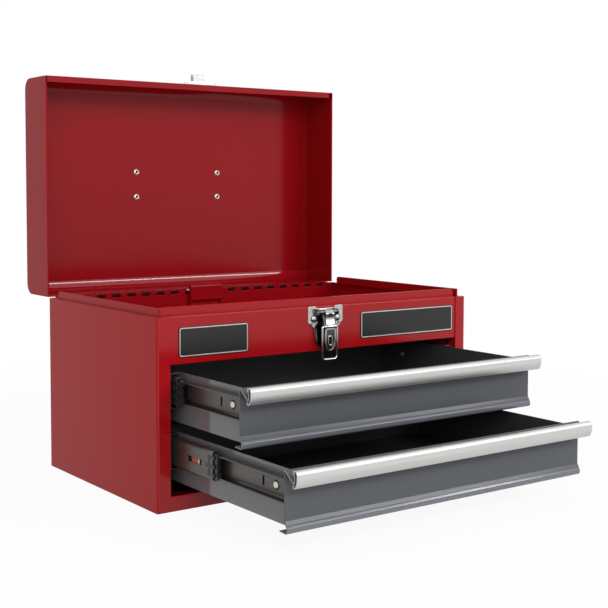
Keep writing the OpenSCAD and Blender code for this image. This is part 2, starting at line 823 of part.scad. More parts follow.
module latch_pin() color(silver) {
    rod_x(-ear_x - 1.6, ear_x + 1.6, latch_y, latch_z, latch_pin);
}

module latch_lever() color(silver) {
    half = ear_x - 0.3;
    tube = loop_half - wire_radius - 0.45;
    difference() {
        union() {
            rod_x(-half, half, latch_y, latch_z, lever_knuckle);
            rod_x(-tube, tube, loop_y, loop_z, tube_radius);
            along_x(-tube, tube)
                fold([[latch_y - 1, latch_z - 1.5], [loop_y - 1.6, latch_z - 6],
                    [loop_y - 1.2, loop_z]], lever_sheet);
            along_x(-7, 7)
                fold([[loop_y - 0.6, loop_z], [loop_y + 0.8, loop_z - 16],
                    [loop_y + 0.6, loop_z - 22], [loop_y - 1.4, loop_z - 26]],
                    lever_sheet);
        }
        rod_x(-half - 1, half + 1, latch_y, latch_z, latch_bore);
        rod_x(-tube - 1, tube + 1, loop_y, loop_z, wire_bore);
    }
}

module latch_loop() color(silver) {
    r = wire_radius;
    bend = 1.7;
    foot = loop_z - loop_length;
    rod_x(bend - loop_half, loop_half - bend, loop_y, loop_z, r);
    rod_x(loop_corner - loop_half, loop_half - loop_corner, loop_y, foot, r);
    for (s = [-1, 1]) hand(s) {
        translate([loop_half - bend, loop_y, loop_z - bend]) rotate([90, 0, 0])
            quarter_bend(bend, r);
        rod_z(foot + loop_corner, loop_z - bend, loop_half, loop_y, r);
        translate([loop_half - loop_corner, loop_y, foot + loop_corner])
            rotate([90, 0, 0]) rotate([0, 0, -90]) quarter_bend(loop_corner, r);
    }
}

// ---- The pieces, by name ----

color(red) hand(-1) side_panel();  // side_left
color(red) hand(1) side_panel();  // side_right
back_panel();
bottom_panel();
front_rail();
till_floor();
stop_bracket();
stop_rivets();
hand(-1) post(post_front_y);  // post_left_front
hand(-1) post(post_rear_y);  // post_left_rear
hand(1) post(post_front_y);  // post_right_front
hand(1) post(post_rear_y);  // post_right_rear
hinge_pin();
latch_plate();
latch_rivets();
latch_pin();
name_plate(left_plate);  // name_plate_left
name_plate(right_plate);  // name_plate_right
hand(-1) cabinet_rail(upper_top);  // upper_left_cabinet_rail
hand(1) cabinet_rail(upper_top);  // upper_right_cabinet_rail
hand(-1) cabinet_rail(lower_top);  // lower_left_cabinet_rail
hand(1) cabinet_rail(lower_top);  // lower_right_cabinet_rail
cabinet_rail_rivets();
lid_shell();
color(red) hand(-1) lid_end();  // lid_end_left
color(red) hand(1) lid_end();  // lid_end_right
lid_keeper();
keeper_rivets();
hand(-1) handle_bracket();  // handle_bracket_left
hand(1) handle_bracket();  // handle_bracket_right
handle_rivets();
handle_bail();
handle_grip();
latch_lever();
latch_loop();
drawer_front(upper_top, upper_out);  // upper_front
drawer_trim(upper_top, upper_out);  // upper_trim
drawer_box(upper_top, upper_out);  // upper_box
drawer_mat(upper_top, upper_out);  // upper_mat
hand(-1) drawer_rail(upper_top, upper_out);  // upper_left_drawer_rail
hand(1) drawer_rail(upper_top, upper_out);  // upper_right_drawer_rail
drawer_rivets(upper_top, upper_out);  // upper_drawer_rivets
drawer_front(lower_top, lower_out);  // lower_front
drawer_trim(lower_top, lower_out);  // lower_trim
drawer_box(lower_top, lower_out);  // lower_box
drawer_mat(lower_top, lower_out);  // lower_mat
hand(-1) drawer_rail(lower_top, lower_out);  // lower_left_drawer_rail
hand(1) drawer_rail(lower_top, lower_out);  // lower_right_drawer_rail
drawer_rivets(lower_top, lower_out);  // lower_drawer_rivets
hand(-1) middle_rail(upper_top, upper_middle_out);  // upper_left_middle_rail
hand(1) middle_rail(upper_top, upper_middle_out);  // upper_right_middle_rail
hand(-1) middle_rail(lower_top, lower_middle_out);  // lower_left_middle_rail
hand(1) middle_rail(lower_top, lower_middle_out);  // lower_right_middle_rail
hand(-1) ball_cage(upper_top, upper_middle_out);  // upper_left_ball_cage
hand(1) ball_cage(upper_top, upper_middle_out);  // upper_right_ball_cage
hand(-1) ball_cage(lower_top, lower_middle_out);  // lower_left_ball_cage
hand(1) ball_cage(lower_top, lower_middle_out);  // lower_right_ball_cage
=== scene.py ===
import logging
import math
from dataclasses import dataclass
from enum import Enum
from typing import Callable, Iterable, Sequence

import bmesh
import bpy
from mathutils import Matrix, Vector


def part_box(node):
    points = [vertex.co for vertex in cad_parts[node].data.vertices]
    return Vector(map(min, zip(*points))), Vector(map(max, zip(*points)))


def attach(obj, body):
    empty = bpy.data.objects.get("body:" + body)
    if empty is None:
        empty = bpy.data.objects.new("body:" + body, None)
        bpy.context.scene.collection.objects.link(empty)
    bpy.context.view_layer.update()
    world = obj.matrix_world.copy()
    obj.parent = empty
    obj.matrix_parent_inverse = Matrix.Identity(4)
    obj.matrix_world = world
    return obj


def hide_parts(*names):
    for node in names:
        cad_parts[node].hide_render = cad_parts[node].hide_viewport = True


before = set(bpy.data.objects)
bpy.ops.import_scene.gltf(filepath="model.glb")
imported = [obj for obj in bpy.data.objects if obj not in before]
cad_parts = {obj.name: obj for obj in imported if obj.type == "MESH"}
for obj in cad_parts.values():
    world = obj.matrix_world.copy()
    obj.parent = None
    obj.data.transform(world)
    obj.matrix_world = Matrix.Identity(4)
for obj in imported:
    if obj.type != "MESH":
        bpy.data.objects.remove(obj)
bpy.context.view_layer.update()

logging.basicConfig(level=logging.INFO, format="%(name)s: %(message)s")
LOG = logging.getLogger("tool_box")

Corner = tuple[float, float, float]
Span = tuple[float, float]
Mesh = bmesh.types.BMesh

MM = 0.001
AXES = {"X": Vector((1, 0, 0)), "Y": Vector((0, 1, 0)), "Z": Vector((0, 0, 1))}

# Places that several sub-assemblies share, in millimetres.
FRONT_Y = -125.0
HINGE_Y = 127.5
HINGE_Z = 190.0


class Finish(Enum):
    """The finishes of the tool box's pieces, the main ones named as their slots are."""

    RED = "red_paint"
    RED_SIDE = "red_side"
    RED_LID = "red_lid"
    RED_INSIDE = "red_inside"
    RED_BEND = "red_bend"
    RED_SHADE = "red_shade"
    GREY = "grey_paint"
    GREY_EDGE = "grey_edge"
    GREY_BEND = "grey_bend"
    BOX_SIDE = "box_side"
    BLACK = "black_paint"
    ZINC = "slide_zinc"
    ZINC_SHADE = "zinc_shade"
    NICKEL = "bright_nickel"
    NICKEL_PALE = "nickel_pale"
    NICKEL_SHADE = "nickel_shade"
    TRIM = "trim_aluminium"
    RIVET = "rivet_steel"
    PLATE = "plate_black"
    PLATE_EDGE = "plate_edge"
    CAGE = "cage_black"
    HOLE = "hole_black"
    GRIP = "grip_black"
    MAT = "mat_black"


# The slot of each finish that can come first on a piece and isn't a slot itself.
SLOT_OF: dict[Finish, str] = {
    Finish.RED_LID: "red_paint",
    Finish.RED_INSIDE: "red_paint",
    Finish.RED_SHADE: "red_paint",
    Finish.BOX_SIDE: "grey_paint",
    Finish.NICKEL_PALE: "bright_nickel",
    Finish.PLATE_EDGE: "bright_nickel",
    Finish.HOLE: "cage_black",
}


def linear(rgb: Sequence[int]) -> tuple[float, ...]:
    """Turns a screen colour into the linear colour that a shader takes.

    Args:
        rgb: red, green and blue from 0 to 255.

    Returns:
        The linear colour with an alpha of 1.
    """
    shares = [value / 255 for value in rgb]
    return (*(s / 12.92 if s <= 0.04045 else ((s + 0.055) / 1.055) ** 2.4 for s in shares),
            1.0)


def stand(name: str, data: bpy.types.ID) -> bpy.types.Object:
    """Puts data into the scene as a new object.

    Args:
        name: the object's name.
        data: its mesh, lamp or camera.

    Returns:
        The object.
    """
    thing = bpy.data.objects.new(name, data)
    bpy.context.scene.collection.objects.link(thing)
    return thing


# ---- Shader nodes ----


class Wiring:
    """A node tree, with short ways to add nodes and to join them."""

    def __init__(self, tree: bpy.types.NodeTree) -> None:
        """Keeps the tree."""
        self.tree = tree

    def add(self, kind: str, values: dict[str | int, object] | None = None,
            **settings: object) -> bpy.types.Node:
        """Adds a shader node.

        Args:
            kind: its type, without the ShaderNode before it.
            values: the inputs that keep a value, each by name or place.
            settings: the node's own settings, made before its values.

        Returns:
            The node.
        """
        node = self.tree.nodes.new(f"ShaderNode{kind}")
        for name, setting in settings.items():
            setattr(node, name, setting)
        for socket, value in (values or {}).items():
            node.inputs[socket].default_value = value
        return node

    def first(self, kind: str) -> bpy.types.Node:
        """Finds the node of a type that the tree came with."""
        return next(node for node in self.tree.nodes if node.type == kind)

    def join(self, *wires: tuple[bpy.types.Node, str | int, bpy.types.Node, str | int]
             ) -> None:
        """Joins each wire's node and output to its other node and input."""
        for source, given, target, taken in wires:
            self.tree.links.new(source.outputs[given], target.inputs[taken])

    def seen(self) -> bpy.types.Node:
        """Adds the mask of the rays that the camera sends, also by way of a mirror.

        Returns:
            The node that puts the mask out.
        """
        path = self.add("LightPath")
        either = self.add("Math", operation="MAXIMUM")
        mask = self.add("Math", operation="MAXIMUM")
        self.join((path, "Is Camera Ray", either, 0), (path, "Is Glossy Ray", either, 1),
                  (either, 0, mask, 0), (path, "Is Transmission Ray", mask, 1))
        return mask


class Effects:
    """Shader node groups, each built once and then placed in many materials."""

    broad_share: float = 0.12
    smudge_range: Span = (0.48, 0.72)

    def __init__(self) -> None:
        """Builds the groups."""
        self.paint_skin = self._paint_skin()
        self.drawn_grain = self._drawn_grain()
        self.handling = self._handling()

    @staticmethod
    def _group(name: str, inputs: dict[str, float | Corner], outputs: Sequence[str]
               ) -> tuple[Wiring, bpy.types.Node, bpy.types.Node]:
        """Starts a node group with named sockets.

        Args:
            name: the group's name.
            inputs: each input's name and default, a number or a vector.
            outputs: the names of the outputs, all numbers.

        Returns:
            The group's wiring, its input node and its output node.
        """
        tree = bpy.data.node_groups.new(name, "ShaderNodeTree")
        for label, default in inputs.items():
            kind = "NodeSocketVector" if isinstance(default, tuple) else "NodeSocketFloat"
            socket = tree.interface.new_socket(label, in_out="INPUT", socket_type=kind)
            socket.default_value = default
        for label in outputs:
            tree.interface.new_socket(label, in_out="OUTPUT", socket_type="NodeSocketFloat")
        ends = (tree.nodes.new(f"NodeGroup{end}") for end in ("Input", "Output"))
        return Wiring(tree), *ends

    def _paint_skin(self) -> bpy.types.NodeTree:
        """The faint ripple of sprayed paint, and the slow drift of its tone.

        Returns:
            The group, with a Height and a Tone.
        """
        wiring, given, out = self._group(
            "paint_skin", {"Vector": (0, 0, 0), "Ripple": 450.0, "Drift": 9.0},
            ("Height", "Tone"))
        fine = wiring.add("TexNoise", {"Detail": 2.0})
        slow = wiring.add("TexNoise", {"Detail": 3.0})
        wiring.join((given, "Vector", fine, "Vector"), (given, "Ripple", fine, "Scale"),
                    (given, "Vector", slow, "Vector"), (given, "Drift", slow, "Scale"),
                    (fine, "Fac", out, "Height"), (slow, "Fac", out, "Tone"))
        return wiring.tree

    def _drawn_grain(self) -> bpy.types.NodeTree:
        """Long fine lines, as on drawn or brushed metal.

        Returns:
            The group, with a Height and a Tone.
        """
        wiring, given, out = self._group(
            "drawn_grain", {"Vector": (0, 0, 0), "Stretch": (1, 1, 1), "Scale": 300.0},
            ("Height", "Tone"))
        drawn = wiring.add("VectorMath", operation="MULTIPLY")
        coarser = wiring.add("Math", {1: self.broad_share}, operation="MULTIPLY")
        fine = wiring.add("TexNoise", {"Detail": 5.0, "Roughness": 0.7})
        broad = wiring.add("TexNoise", {"Detail": 2.0})
        wiring.join((given, "Vector", drawn, 0), (given, "Stretch", drawn, 1),
                    (given, "Scale", coarser, 0),
                    (drawn, 0, fine, "Vector"), (given, "Scale", fine, "Scale"),
                    (drawn, 0, broad, "Vector"), (coarser, 0, broad, "Scale"),
                    (fine, "Fac", out, "Height"), (broad, "Fac", out, "Tone"))
        return wiring.tree

    def _handling(self) -> bpy.types.NodeTree:
        """Faint smudges and specks from handling.

        Returns:
            The group, with a Smudge mask from 0 to 1.
        """
        wiring, given, out = self._group(
            "handling", {"Vector": (0, 0, 0), "Scale": 30.0, "Amount": 0.5}, ("Smudge",))
        noise = wiring.add("TexNoise", {"Detail": 6.0, "Roughness": 0.65})
        low, high = self.smudge_range
        spread = wiring.add("MapRange", {"From Min": low, "From Max": high})
        times = wiring.add("Math", operation="MULTIPLY")
        wiring.join((given, "Vector", noise, "Vector"), (given, "Scale", noise, "Scale"),
                    (noise, "Fac", spread, "Value"), (spread, "Result", times, 0),
                    (given, "Amount", times, 1), (times, 0, out, "Smudge"))
        return wiring.tree


@dataclass(frozen=True)
class Surface:
    """One finish: its two colours, its gloss and the effects that break it up."""

    name: str
    colour: tuple[int, int, int]
    second: tuple[int, int, int]
    roughness: float
    worn_roughness: float
    metallic: float = 0.0
    specular: float = 0.5
    grain: Corner | None = None
    fine: float = 450.0
    broad: float = 9.0
    relief: float = 0.05
    relief_depth: float = 0.0003
    smudge: float = 0.4
    smudge_scale: float = 30.0

    def build(self, effects: Effects) -> bpy.types.Material:
        """Makes the material.

        Args:
            effects: the shared node groups.

        Returns:
            The material.
        """
        material = bpy.data.materials.new(self.name)
        material.use_nodes = True
        wiring = Wiring(material.node_tree)
        shader = wiring.first("BSDF_PRINCIPLED")
        shader.inputs["Metallic"].default_value = self.metallic
        shader.inputs["Specular IOR Level"].default_value = self.specular
        place = wiring.add("TexCoord")
        if self.grain:
            skin = wiring.add("Group", {"Stretch": self.grain, "Scale": self.fine},
                              node_tree=effects.drawn_grain)
        else:
            skin = wiring.add("Group", {"Ripple": self.fine, "Drift": self.broad},
                              node_tree=effects.paint_skin)
        touch = wiring.add("Group", {"Scale": self.smudge_scale, "Amount": self.smudge},
                           node_tree=effects.handling)
        mix = wiring.add("Mix", {"A": linear(self.colour), "B": linear(self.second)},
                         data_type="RGBA")
        rough = wiring.add("MapRange", {"To Min": self.roughness,
                                        "To Max": self.worn_roughness})
        bump = wiring.add("Bump", {"Strength": self.relief, "Distance": self.relief_depth})
        wiring.join((place, "Object", skin, "Vector"), (place, "Object", touch, "Vector"),
                    (skin, "Tone", mix, "Factor"), (mix, "Result", shader, "Base Color"),
                    (touch, "Smudge", rough, "Value"), (rough, "Result", shader, "Roughness"),
                    (skin, "Height", bump, "Height"), (bump, "Normal", shader, "Normal"))
        return material


ALONG_Y: Corner = (8.0, 0.4, 8.0)
ALONG_X: Corner = (0.12, 6.0, 6.0)

SURFACES: dict[Finish, Surface] = {
    Finish.RED: Surface("red gloss paint", (160, 14, 21), (153, 11, 19), 0.16, 0.24,
                        specular=0.3),
    # Painted shade: a copy of the red paint with less sheen, for faces that point sideways.
    Finish.RED_SIDE: Surface("red paint on the sides", (161, 16, 19), (155, 14, 17), 0.2,
                             0.3, specular=0.09),
    # Painted shade: a darker copy of the red paint for the lid's ends.
    Finish.RED_LID: Surface("red paint on the lid's ends", (151, 14, 18), (144, 12, 16), 0.2,
                            0.3, specular=0.07),
    # Painted shade: a darker copy of the red paint, for inward faces, the parts inside the
    # body and the lid.
    Finish.RED_INSIDE: Surface("red gloss paint darkened as painted shade", (143, 12, 20), (135, 10, 18), 0.15,
                               0.22, specular=0.2),
    Finish.RED_BEND: Surface("red paint drawn tight in a bend", (150, 12, 20),
                             (142, 10, 18), 0.08, 0.12, specular=0.6, relief=0.02),
    # Painted shade: a dark red for the hinge knuckles, the sheets in the hinge windows and
    # the strips beside the stop tab.
    Finish.RED_SHADE: Surface("red paint darkened as painted shade in the hinge", (46, 3, 6), (34, 2, 5), 0.45,
                              0.6, specular=0.04),
    Finish.GREY: Surface("grey gloss paint", (86, 88, 92), (80, 82, 86), 0.18, 0.26,
                         specular=0.18),
    # A glossier copy of the grey paint for the rolled lip, its colour lightened as a painted
    # highlight.
    Finish.GREY_BEND: Surface("grey paint drawn tight in a bend", (104, 107, 113),
                              (96, 99, 105), 0.14, 0.2, specular=0.6, relief=0.02),
    # Painted highlight: a light grey for the cut ends of the finger groove.
    Finish.GREY_EDGE: Surface("grey paint lightened as a painted highlight on an edge", (150, 151, 154),
                              (136, 137, 140), 0.28, 0.4),
    # Painted light: a lighter, glossier copy of the grey paint for the drawer sides.
    Finish.BOX_SIDE: Surface("grey paint on the drawer sides", (106, 105, 106),
                             (101, 100, 101), 0.07, 0.13, specular=0.42, relief=0.02),
    Finish.BLACK: Surface("black paint", (70, 68, 70), (62, 60, 62), 0.35, 0.5,
                          specular=0.35, relief=0.08),
    Finish.ZINC: Surface("dark zinc", (99, 95, 91), (76, 74, 73), 0.3, 0.44, metallic=0.8,
                         grain=ALONG_Y, fine=500.0),
    # Dark with grease and with painted shade, for the ball tracks.
    Finish.ZINC_SHADE: Surface("zinc of the ball tracks, dark with grease and painted shade", (40, 37, 35), (26, 24, 23),
                               0.34, 0.5, metallic=0.5, grain=ALONG_Y, fine=500.0),
    Finish.NICKEL: Surface("bright nickel", (214, 213, 211), (150, 149, 148), 0.16, 0.3,
                           metallic=1.0, fine=260.0, broad=420.0, relief=0.12),
    # Painted highlight: a nickel lightened nearly to white, for the lid keeper.
    Finish.NICKEL_PALE: Surface("nickel lightened as a painted highlight", (246, 246, 245), (222, 222, 221),
                                0.12, 0.22, metallic=1.0, fine=260.0, broad=300.0,
                                relief=0.08),
    # Painted shade: a darker nickel for the latch's folds and recesses.
    Finish.NICKEL_SHADE: Surface("nickel darkened as painted shade in its folds", (112, 110, 108),
                                 (58, 57, 57), 0.2, 0.36, metallic=1.0, fine=260.0,
                                 broad=360.0, relief=0.12),
    Finish.TRIM: Surface("brushed aluminium", (205, 204, 202), (187, 186, 184), 0.48, 0.56,
                         metallic=0.8, grain=ALONG_X, fine=420.0, relief=0.2,
                         relief_depth=0.0005),
    Finish.RIVET: Surface("rivet steel", (222, 219, 208), (196, 193, 182), 0.25, 0.4,
                          metallic=0.7, fine=600.0, broad=80.0, relief=0.06),
    Finish.PLATE: Surface("black name plate", (38, 36, 37), (31, 30, 31), 0.24, 0.36,
                          specular=0.35, fine=900.0, relief=0.04),
    Finish.PLATE_EDGE: Surface("name plate edge", (222, 221, 218), (200, 199, 196), 0.3,
                               0.42, metallic=0.7, fine=600.0, broad=60.0, relief=0.04),
    Finish.CAGE: Surface("black nylon", (34, 33, 34), (26, 26, 27), 0.4, 0.55, fine=800.0,
                         relief=0.1),
    Finish.HOLE: Surface("shadow in a hole", (10, 9, 10), (7, 7, 7), 0.6, 0.7,
                         specular=0.1, fine=800.0),
    Finish.GRIP: Surface("black grip", (26, 26, 27), (19, 19, 20), 0.55, 0.65, fine=900.0,
                         relief=0.2),
    Finish.MAT: Surface("black drawer mat", (72, 71, 73), (62, 61, 63), 0.55, 0.7,
                        fine=1400.0, relief=0.3, relief_depth=0.0005, specular=0.3),
}


class Palette:
    """Hands out the materials, each made once."""

    def __init__(self) -> None:
        """Builds the shared effects."""
        self.effects = Effects()
        self._made: dict[Finish, bpy.types.Material] = {}

    def __getitem__(self, finish: Finish) -> bpy.types.Material:
        """Gives a finish's material.

        Args:
            finish: the finish.

        Returns:
            The material, made when it is first asked for.
        """
        if finish not in self._made:
            self._made[finish] = SURFACES[finish].build(self.effects)
        return self._made[finish]


# ---- Outlines, in millimetres: two coordinates and a radius for each corner ----


def moved(corners: Sequence[Corner], u: float, v: float) -> list[Corner]:
    """Moves an outline across its axis."""
    return [(a + u, b + v, radius) for a, b, radius in corners]


def oblong(us: Span, vs: Span, radius: float = 0.0) -> list[Corner]:
    """Draws a rectangle with equal corners from its two spans."""
    return [(us[0], vs[0], radius), (us[1], vs[0], radius), (us[1], vs[1], radius),
            (us[0], vs[1], radius)]


def both_sides(half: Sequence[Corner]) -> list[Corner]:
    """Follows half an outline with its mirror image."""
    return [*half, *((-u, v, radius) for u, v, radius in reversed(half))]


def beside(side: int, span: Span) -> Span:
    """Puts a span on one side of the middle, lower end first."""
    low, high = sorted(side * end for end in span)
    return low, high


def dome(radius: float, height: float) -> list[Corner]:
    """Gives the half profile of a domed rivet head, its foot sunk in the sheet.

    Args:
        radius: its radius.
        height: its height over the sheet.

    Returns:
        The profile.
    """
    sunk = -0.2
    return [(0.0, sunk, 0.0), (radius, sunk, 0.0), (radius, height * 0.35, 0.3),
            (radius * 0.72, height * 0.86, radius * 0.5), (0.0, height, 0.0)]


def dish(foot: float, rim: float, height: float) -> list[Corner]:
    """Gives the half profile of the thin ring of painted shade round a rivet head."""
    sunk = -0.1
    return [(0.0, sunk, 0.0), (foot, sunk, 0.0), (rim, height, 0.1), (0.0, height, 0.0)]


def tube(inner: float, outer: float, span: Span, corner: float) -> list[Corner]:
    """Gives the half profile of a rolled tube.

    Args:
        inner: its inner radius.
        outer: its outer radius.
        span: its two ends.
        corner: the rounding of its outer edges.

    Returns:
        The profile, from 0 up.
    """
    length = span[1] - span[0]
    return [(inner, 0.0, 0.0), (outer, 0.0, corner), (outer, length, corner),
            (inner, length, 0.0), (inner, 0.0, 0.0)]


# ---- Mesh helpers ----


class Workshop:
    """Turns outlines and the frame's nodes into finished pieces of the object.

    Its angles are in degrees and its lengths in millimetres.
    """

    smooth_angle: float = 35.0
    cut_angle: float = 32.0
    fold_angle: float = 50.0
    flat_angle: float = 0.6
    corner_step: float = 14.0
    fold_width: float = 2.2
    fold_length: float = 20.0
    fold_faces: int = 5
    turned_faces: int = 24
    shading_weight: int = 80
    track_lean: float = 0.3

    def __init__(self, palette: Palette) -> None:
        """Keeps the palette that the materials come from."""
        self.palette = palette

    def finish(self, name: str, bm: Mesh, body: str, finishes: Sequence[Finish],
               replaces: Iterable[str] = ()) -> None:
        """Args:
            name: the piece's name.
            bm: its mesh, freed here.
            body: the body that it rides on.
            finishes: one for each material index.
            replaces: the nodes that it stands for.
        """
        mesh = bpy.data.meshes.new(name)
        for part in (*bm.faces, *bm.edges):
            part.smooth = True
        for edge in self.sharp(bm, self.smooth_angle):
            edge.smooth = False
        bm.to_mesh(mesh)
        bm.free()
        piece = stand(name, mesh)
        for one in finishes:
            mesh.materials.append(self.palette[one])
        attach(piece, body)
        SLOT_OF.get(finishes[0], finishes[0].value)
        if replaces:
            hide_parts(*replaces)
        even = piece.modifiers.new("even shading", "WEIGHTED_NORMAL")
        even.keep_sharp = True
        even.weight = self.shading_weight
        LOG.info("%s: %d faces", name, len(mesh.polygons))

    def dressed(self, node: str, parts: Iterable[Mesh], body: str,
                finishes: Sequence[Finish]) -> None:
        """Makes parts, each freed here, one piece that stands for a node."""
        self.finish(f"{node}_dressed", self.merged(parts), body, finishes, [node])

    def softened(self, node: str, body: str, finish: Finish, width: float = 0.25,
                 bend: float = 0.0, segments: int = 2) -> None:
        """Stands a copy of a node in its place, its cut edges and folds rounded."""
        bm = self.soften(self.copy_of(node), width, bend, segments)
        self.dressed(node, [bm], body, [finish])

    def rail(self, node: str, body: str) -> None:
        """Dresses a slide's rail, its ball tracks dark with grease and painted shade.

        Args:
            node: the rail's node.
            body: the body that it rides on.
        """
        bm = self.copy_of(node)
        low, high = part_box(node)
        middle = (low[2] + high[2]) / 2
        # Track faces that turn towards the rail's middle take the dark zinc: grease and
        # painted shade.
        for face in bm.faces:
            height = face.calc_center_median().z - middle
            if abs(face.normal.z) > self.track_lean and face.normal.z * height < 0:
                face.material_index = 1
        self.soften(bm, 0.25, 0.8)
        self.dressed(node, [bm], body, [Finish.ZINC, Finish.ZINC_SHADE])

    @staticmethod
    def copy_of(node: str) -> Mesh:
        """Copies a node's mesh, with its flat faces made whole.

        Args:
            node: the node's name.

        Returns:
            The copy.
        """
        bm = bmesh.new()
        bm.from_mesh(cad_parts[node].data)
        bmesh.ops.remove_doubles(bm, verts=bm.verts, dist=2e-6)
        bmesh.ops.dissolve_limit(bm, angle_limit=math.radians(Workshop.flat_angle),
                                 verts=bm.verts, edges=bm.edges,
                                 use_dissolve_boundaries=False)
        return bm

    @staticmethod
    def merged(parts: Iterable[Mesh]) -> Mesh:
        """Puts several bmeshes into one.

        Args:
            parts: the bmeshes, each freed here.

        Returns:
            The whole.
        """
        whole = bmesh.new()
        for part in parts:
            mesh = bpy.data.meshes.new("part")
            part.to_mesh(mesh)
            part.free()
            whole.from_mesh(mesh)
            bpy.data.meshes.remove(mesh)
        return whole

    @staticmethod
    def mirrored(bm: Mesh) -> Mesh:
        """Turns a right-hand piece into its left-hand twin, faces outwards.

        Args:
            bm: the piece.

        Returns:
            The same bmesh, mirrored.
        """
        bmesh.ops.scale(bm, vec=(-1.0, 1.0, 1.0), verts=bm.verts)
        bmesh.ops.reverse_faces(bm, faces=bm.faces)
        return bm

    @staticmethod
    def painted(bm: Mesh, index: int) -> Mesh:
        """Gives every face a material index.

        Args:
            bm: the mesh.
            index: the index.

        Returns:
            The mesh.
        """
        for face in bm.faces:
            face.material_index = index
        return bm

    @staticmethod
    def sharp(bm: Mesh, angle: float) -> list[bmesh.types.BMEdge]:
        """Lists the edges whose faces meet at more than an angle."""
        return [e for e in bm.edges if len(e.link_faces) == 2
                and e.calc_face_angle(0.0) > math.radians(angle)]

    @staticmethod
    def round_off(bm: Mesh, edges: Sequence[bmesh.types.BMEdge], width: float,
                  segments: int) -> None:
        """Bevels edges with round bevels.

        Args:
            bm: the mesh.
            edges: the edges.
            width: the width of the bevel.
            segments: the number of faces across it.
        """
        bmesh.ops.bevel(bm, geom=list(edges), offset=width * MM, offset_type="OFFSET",
                        segments=segments, profile=0.5, affect="EDGES",
                        clamp_overlap=True, material=-1)

    @staticmethod
    def soften(bm: Mesh, width: float, bend: float = 0.0, segments: int = 2) -> Mesh:
        """Rounds the folds of a sheet, then the edges that cutting left.

        Args:
            bm: the mesh.
            width: the rounding of the cut edges.
            bend: the rounding of the long outer folds, or 0 where it has none.
            segments: the number of faces across a cut edge's rounding.

        Returns:
            The mesh.
        """
        if bend:
            folds = [e for e in Workshop.sharp(bm, Workshop.fold_angle)
                     if e.is_convex and e.calc_length() > Workshop.fold_length * MM
                     and all(f.calc_area() / e.calc_length() > Workshop.fold_width * MM
                             for f in e.link_faces)]
            if folds:
                Workshop.round_off(bm, folds, bend, Workshop.fold_faces)
        Workshop.round_off(bm, Workshop.sharp(bm, Workshop.cut_angle), width, segments)
        return bm

    @staticmethod
    def spot(axis: str, u: float, v: float, level: float) -> Vector:
        """Places a flat point u, v at a level along an axis, in metres."""
        order = {"X": (level, u, v), "Y": (u, level, v), "Z": (u, v, level)}
        return Vector(order[axis]) * MM

    @staticmethod
    def drawn(corners: Sequence[Corner], axis: str, level: float, closed: bool) -> Mesh:
        """Draws a line or an outline with rounded corners.

        Args:
            corners: the corners of the line.
            axis: the axis that the drawing lies across.
            level: its place along the axis.
            closed: whether it is an outline, filled with a face.

        Returns:
            The drawing.
        """
        bm = bmesh.new()
        verts = [bm.verts.new(Workshop.spot(axis, u, v, level)) for u, v, _ in corners]
        if closed:
            bm.faces.new(verts)
        else:
            for a, b in zip(verts, verts[1:]):
                bm.edges.new((a, b))
        count = len(corners)
        rounds = []
        for i, (vert, corner) in enumerate(zip(verts, corners)):
            if corner[2] <= 0 or (not closed and i in (0, count - 1)):
                continue
            back = verts[i - 1].co - vert.co
            ahead = verts[(i + 1) % count].co - vert.co
            turn = math.pi - back.angle(ahead)
            steps = max(2, math.ceil(math.degrees(turn) / Workshop.corner_step))
            rounds.append((vert, corner[2] * MM * math.tan(turn / 2), steps))
        for vert, reach, steps in rounds:
            bmesh.ops.bevel(bm, geom=[vert], offset=reach, offset_type="OFFSET",
                            segments=steps, profile=0.5, affect="VERTICES",
                            clamp_overlap=False, material=-1)
        return bm

    @staticmethod
    def pulled(bm: Mesh, grown: dict[str, list], axis: str, span: Span) -> None:
        """Pulls what an extrusion gave along an axis, and turns the faces outwards.

        Args:
            bm: the mesh.
            grown: what the extrusion gave.
            axis: the axis.
            span: the start and the end of the pull.
        """
        ends = [v for v in grown["geom"] if isinstance(v, bmesh.types.BMVert)]
        bmesh.ops.translate(bm, vec=AXES[axis] * (span[1] - span[0]) * MM, verts=ends)
        bmesh.ops.recalc_face_normals(bm, faces=bm.faces)

    @staticmethod
    def sheet(corners: Sequence[Corner], span: Span, thickness: float,
              left: bool = True) -> Mesh:
        """Bends a sheet that runs along X.

        Args:
            corners: the line that it follows.
            span: its two ends.
            thickness: its thickness.
            left: whether the thickness lies to the left of the line.

        Returns:
            The sheet.
        """
        bm = Workshop.drawn(corners, "X", span[0], False)
        Workshop.pulled(bm, bmesh.ops.extrude_edge_only(bm, edges=list(bm.edges)), "X", span)
        (u0, v0, _), (u1, v1, _) = corners[:2]
        start = Workshop.spot("X", u0, v0, span[0])
        first = min(bm.verts, key=lambda v: (v.co - start).length).link_faces[0]
        away = Workshop.spot("X", v1 - v0, u0 - u1, 0.0) * (1 if left else -1)
        if first.normal.dot(away) < 0:
            bmesh.ops.reverse_faces(bm, faces=bm.faces)
        bm.normal_update()
        bmesh.ops.solidify(bm, geom=list(bm.faces), thickness=thickness * MM)
        bm.normal_update()
        return bm

    @staticmethod
    def raised(bm: Mesh, axis: str, span: Span, rounding: float, index: int,
               segments: int = 2) -> Mesh:
        """Raises a flat drawing into a solid, rounds its edges and paints it.

        Args:
            bm: the drawing, at the start of the span.
            axis: the axis across it.
            span: its lower and its upper face along the axis.
            rounding: the rounding of its edges, or 0 where they stay sharp.
            index: its material index.
            segments: the number of faces across a rounding.

        Returns:
            The solid.
        """
        grown = bmesh.ops.extrude_face_region(bm, geom=list(bm.faces), use_keep_orig=True)
        Workshop.pulled(bm, grown, axis, span)
        if rounding:
            Workshop.soften(bm, rounding, segments=segments)
        return Workshop.painted(bm, index)

